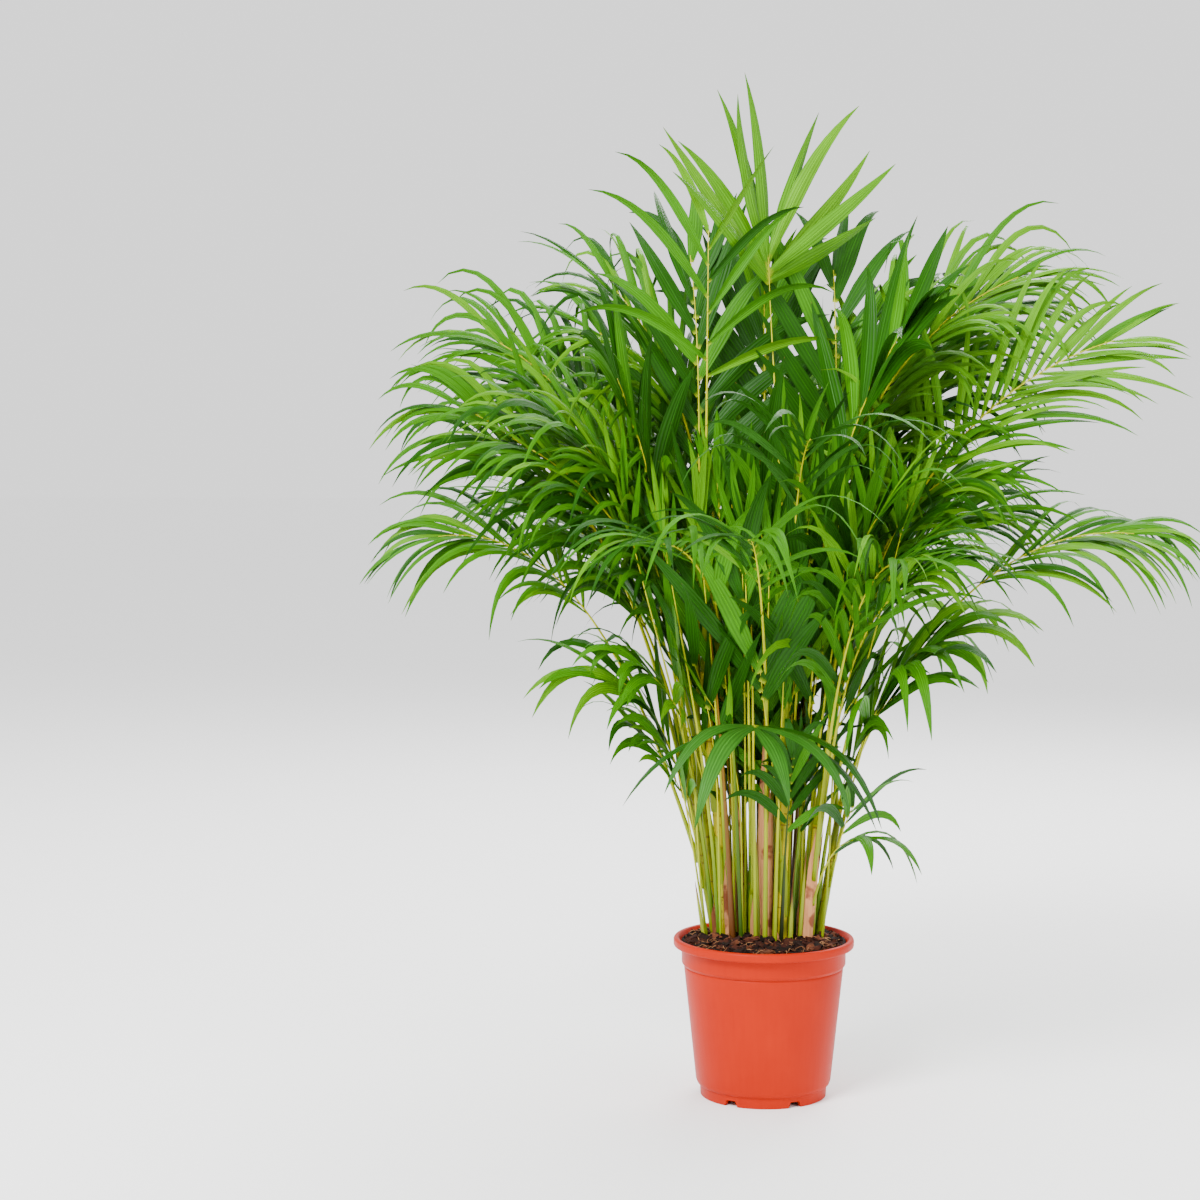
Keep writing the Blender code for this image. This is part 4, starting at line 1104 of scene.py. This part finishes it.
def makeChips(dark, rng):
    chips = Bundle()
    shapes = shapedChips()
    for number in range(soilPlan["chips"] + soilPlan["crumbs"]):
        chip = number < soilPlan["chips"]
        size = rng.uniform(*(soilPlan["chipSize"] if chip else soilPlan["crumbSize"])) * mm
        away = soilPlan["radius"] * 0.985 * math.sqrt(rng.random()) - size * 0.6
        spot = onGround(away, rng.uniform(0, 2 * math.pi))
        if chip and not clearOfCanes(spot, soilPlan["caneRoom"] + size * 0.3):
            continue
        lie = Matrix.Translation(onSoil(spot) + up * size * 0.1)
        for axis, low, high in (("Z", 0, 2 * math.pi), ("X", -0.5, 0.5), ("Y", -0.35, 0.35)):
            lie = lie @ Matrix.Rotation(rng.uniform(low, high), 4, axis)
        spots, faces = shapes[number % len(shapes)]
        chips.scatter(spots, faces, lie @ Matrix.Scale(size, 4), rng.choice((0, 0, 1, 1, 2)))
    tones = [dark, soilFinish("barkBrown"), soilFinish("barkPale")]
    chips.piece("bark_chips", tones, "soil", [], False)


def makeFibres(rng):
    fibres = Bundle()
    for number in range(soilPlan["fibres"]):
        away = soilPlan["radius"] * 0.94 * math.sqrt(rng.random())
        spot = onGround(away, rng.uniform(0, 2 * math.pi))
        heading = rng.uniform(0, 2 * math.pi)
        rows = []
        for step in range(soilPlan["fibreSteps"]):
            heading += rng.uniform(-0.5, 0.5)
            spot = spot + onGround(soilPlan["fibreStep"], heading)
            if spot.length > soilPlan["radius"] * 0.97:
                break
            lift = soilPlan["fibreLift"] + soilPlan["fibreWave"] * math.sin(step)
            side = onGround(1.0, heading + math.pi / 2)
            rows.append(tubeRing(onSoil(spot) + up * lift, side, up, soilPlan["fibreRadius"], 4))
        if len(rows) > 2:
            fibres.tube(rows, [0.5] * len(rows))
    fibres.piece("soil_fibres", [soilFinish("paleFibre")], "soil", [])


def laySoil():
    rng = random.Random(soilPlan["seed"])
    dark = soilFinish("darkSoil")
    makeBed(dark)
    makeChips(dark, rng)
    makeFibres(rng)


potPlan = {"sides": 144, "wall": 1.6, "rimDepth": 9, "bandRadius": 81.5, "bandDepth": 19,
           "bandStep": 2.4, "wallFoot": 67, "ringRadius": 62.5, "ringHeight": 11, "ledge": 5,
           "ringThick": 5, "floor": 6, "channel": 4, "channelInner": 31, "notches": 6,
           "notchWidth": 14, "notchHeight": 6, "notchSlope": 0.3, "drain": 4.5,
           "drainCircle": 45, "edge": 0.7, "edgeAngle": 28, "smoothAngle": 32,
           "plain": (160, 27, 0), "bright": (178, 35, 0), "drag": (142, 20, 0)}


def potFinish():
    finish = Finish("terracottaPlastic", roughness=0.4, gloss=0.07)
    grain = finish.cloud(0.0011, 3.0)
    patch = finish.cloud(0.045)
    drag = finish.cloud(0.004, 2.0, (1.0, 1.0, 0.03))
    tint = finish.mix(patch, paint(potPlan["plain"]), paint(potPlan["bright"]))
    tint = finish.mix(drag * 0.35, tint, paint(potPlan["drag"]))
    return finish.close(tint, grain * 0.7 + drag * 0.6, 0.12 * mm, 0.34 + patch * 0.14)


def potProfile():
    # radius and height in mm of the pot's turned outline, from the inner floor over the rim to the foot
    wall, band, foot, ring = (potPlan[key] for key in ("wall", "bandRadius", "wallFoot", "ringRadius"))
    rise, channel, innerRing = (potPlan[key] for key in ("ringHeight", "channel", "channelInner"))
    rim, top = rimRadius / mm, potTop / mm
    lip, rimFoot = potPlan["rimDepth"] / 3, top - potPlan["rimDepth"]
    bandFoot = rimFoot - potPlan["bandDepth"]
    bandEdge = bandFoot + potPlan["bandStep"]
    wallTop = band - potPlan["bandStep"]
    ledge = rise + potPlan["ledge"]
    ringInside = ring - potPlan["ringThick"]
    return [
        (ring - wall - lip, potPlan["floor"]), (ring - wall, rise), (foot - wall, ledge + wall),
        (wallTop - wall, bandFoot), (band - wall, bandEdge), (band - wall, rimFoot),
        (band + wall, top - lip), (band + 2 * wall, top - 0.4), (rim - lip, top),
        (rim - lip * 0.4, top - lip * 0.15), (rim, top - lip * 0.7), (rim, rimFoot + lip * 0.5),
        (rim - lip * 0.35, rimFoot), (band, rimFoot), (band - 0.2, bandEdge),
        (wallTop + 0.3, bandFoot - 0.3), (wallTop - 1.1, bandFoot - 0.7),
        (wallTop - 0.1, bandFoot - 2.4), (foot, ledge), (foot - wall, rise + wall * 0.6),
        (ring + 0.4, rise - 0.4), (ring, 0.0), (ringInside, 0.0), (ringInside, channel),
        (innerRing, channel), (innerRing - wall, 0.0),
    ]


def turnPot():
    pot = turnedBody(potPlan["sides"], [(up * height * mm, radius * mm)
                                        for radius, height in potProfile()])
    pot.name = "nursery_pot"
    bevel = pot.modifiers.new("roundEdges", "BEVEL")
    bevel.width = potPlan["edge"] * mm
    bevel.segments = 2
    bevel.limit_method = "ANGLE"
    bevel.angle_limit = math.radians(potPlan["edgeAngle"])
    bpy.ops.object.modifier_apply(modifier="roundEdges")
    return pot


def footCutters(number):
    # what cuts one notch out of the foot ring, and the drain hole beside it
    turn = 2 * math.pi * number / potPlan["notches"]
    radius = (potPlan["ringRadius"] - potPlan["ringThick"] / 4) * mm
    bpy.ops.mesh.primitive_cube_add(size=1, location=(radius, 0, 0))
    notch = bpy.context.object
    notch.scale = (potPlan["ringThick"] * 2 * mm, potPlan["notchWidth"] * mm,
                   potPlan["notchHeight"] * 2 * mm)
    bpy.ops.object.transform_apply(location=True, scale=True)
    for corner in notch.data.vertices:
        corner.co.y *= 1 - potPlan["notchSlope"] * (1 if corner.co.z > 0 else -1)
    notch.rotation_euler.z = turn
    bpy.ops.object.transform_apply(rotation=True)
    bpy.ops.mesh.primitive_cylinder_add(vertices=24, radius=potPlan["drain"] * mm,
                                        depth=potPlan["floor"] * 4 * mm,
                                        location=onGround(potPlan["drainCircle"] * mm, turn))
    bpy.ops.object.transform_apply(location=True)
    return [notch, bpy.context.object]


def makePot():
    pot = turnPot()
    cutters = []
    for number in range(potPlan["notches"]):
        cutters += footCutters(number)
    tool = joined(cutters)
    cut = pot.modifiers.new("notches", "BOOLEAN")
    cut.operation = "DIFFERENCE"
    cut.object = tool
    cut.solver = "EXACT"
    choose([pot])
    bpy.ops.object.modifier_apply(modifier="notches")
    bpy.data.objects.remove(tool)
    bpy.ops.object.shade_smooth_by_angle(angle=math.radians(potPlan["smoothAngle"]))
    pot.data.materials.clear()
    pot.data.materials.append(potFinish())
    settle(pot, ["pot"])


studio = {"floor": (252, 252, 252), "floorSize": 60, "world": 1.5, "camera": (0.0, -2.4, 0.64),
          "aim": (-0.163, 0.0, 0.492), "view": 1.188, "lampAim": (0.0, 0.0, 0.5),
          "lamps": {
              "key": {"place": (-1.3, -2.2, 2.6), "size": 1.2, "watts": 210},
              "fill": {"place": (2.2, -1.8, 1.4), "size": 2.0, "watts": 30},
              "back": {"place": (0.6, 2.0, 2.4), "size": 1.6, "watts": 110}}}


def aimed(thing, place, target):
    # sets the thing there, turned to the target, and gives the distance between them
    thing.location = place
    aim = Vector(target) - thing.location
    thing.rotation_euler = aim.to_track_quat("-Z", "Y").to_euler()
    bpy.context.scene.collection.objects.link(thing)
    return aim.length


def makeStudio():
    bpy.ops.mesh.primitive_plane_add(size=studio["floorSize"], location=(0, 0, 0))
    floor = bpy.context.object
    floor.name = "studio_floor"
    finish = Finish("paleFloor", roughness=0.9, gloss=0.1)
    finish.shader.inputs["Base Color"].default_value = paint(studio["floor"])
    floor.data.materials.append(finish.material)
    world = bpy.data.worlds.new("studio")
    world.use_nodes = True
    sky = world.node_tree.nodes["Background"]
    sky.inputs["Color"].default_value = (1, 1, 1, 1)
    sky.inputs["Strength"].default_value = studio["world"]
    bpy.context.scene.world = world
    for name, lamp in studio["lamps"].items():
        light = bpy.data.lights.new(name, "AREA")
        light.energy = lamp["watts"]
        light.size = lamp["size"]
        aimed(bpy.data.objects.new(name, light), lamp["place"], studio["lampAim"])
    camera = bpy.data.objects.new("camera", bpy.data.cameras.new("camera"))
    distance = aimed(camera, studio["camera"], studio["aim"])
    camera.data.lens = camera.data.sensor_width * distance / studio["view"]
    bpy.context.scene.camera = camera
    print("studio, lights and camera are set")


fronds = wholePlant()
groups = {"top": ["top_fan", "top_spear"]}
for side in ("left", "right", "front", "back", "young"):
    groups[side] = [name for name in fronds if name.startswith(side)]
growFoliage(fronds, groups)
growRibs(fronds)
growCanes()
growHusks()
laySoil()
makePot()
makeStudio()
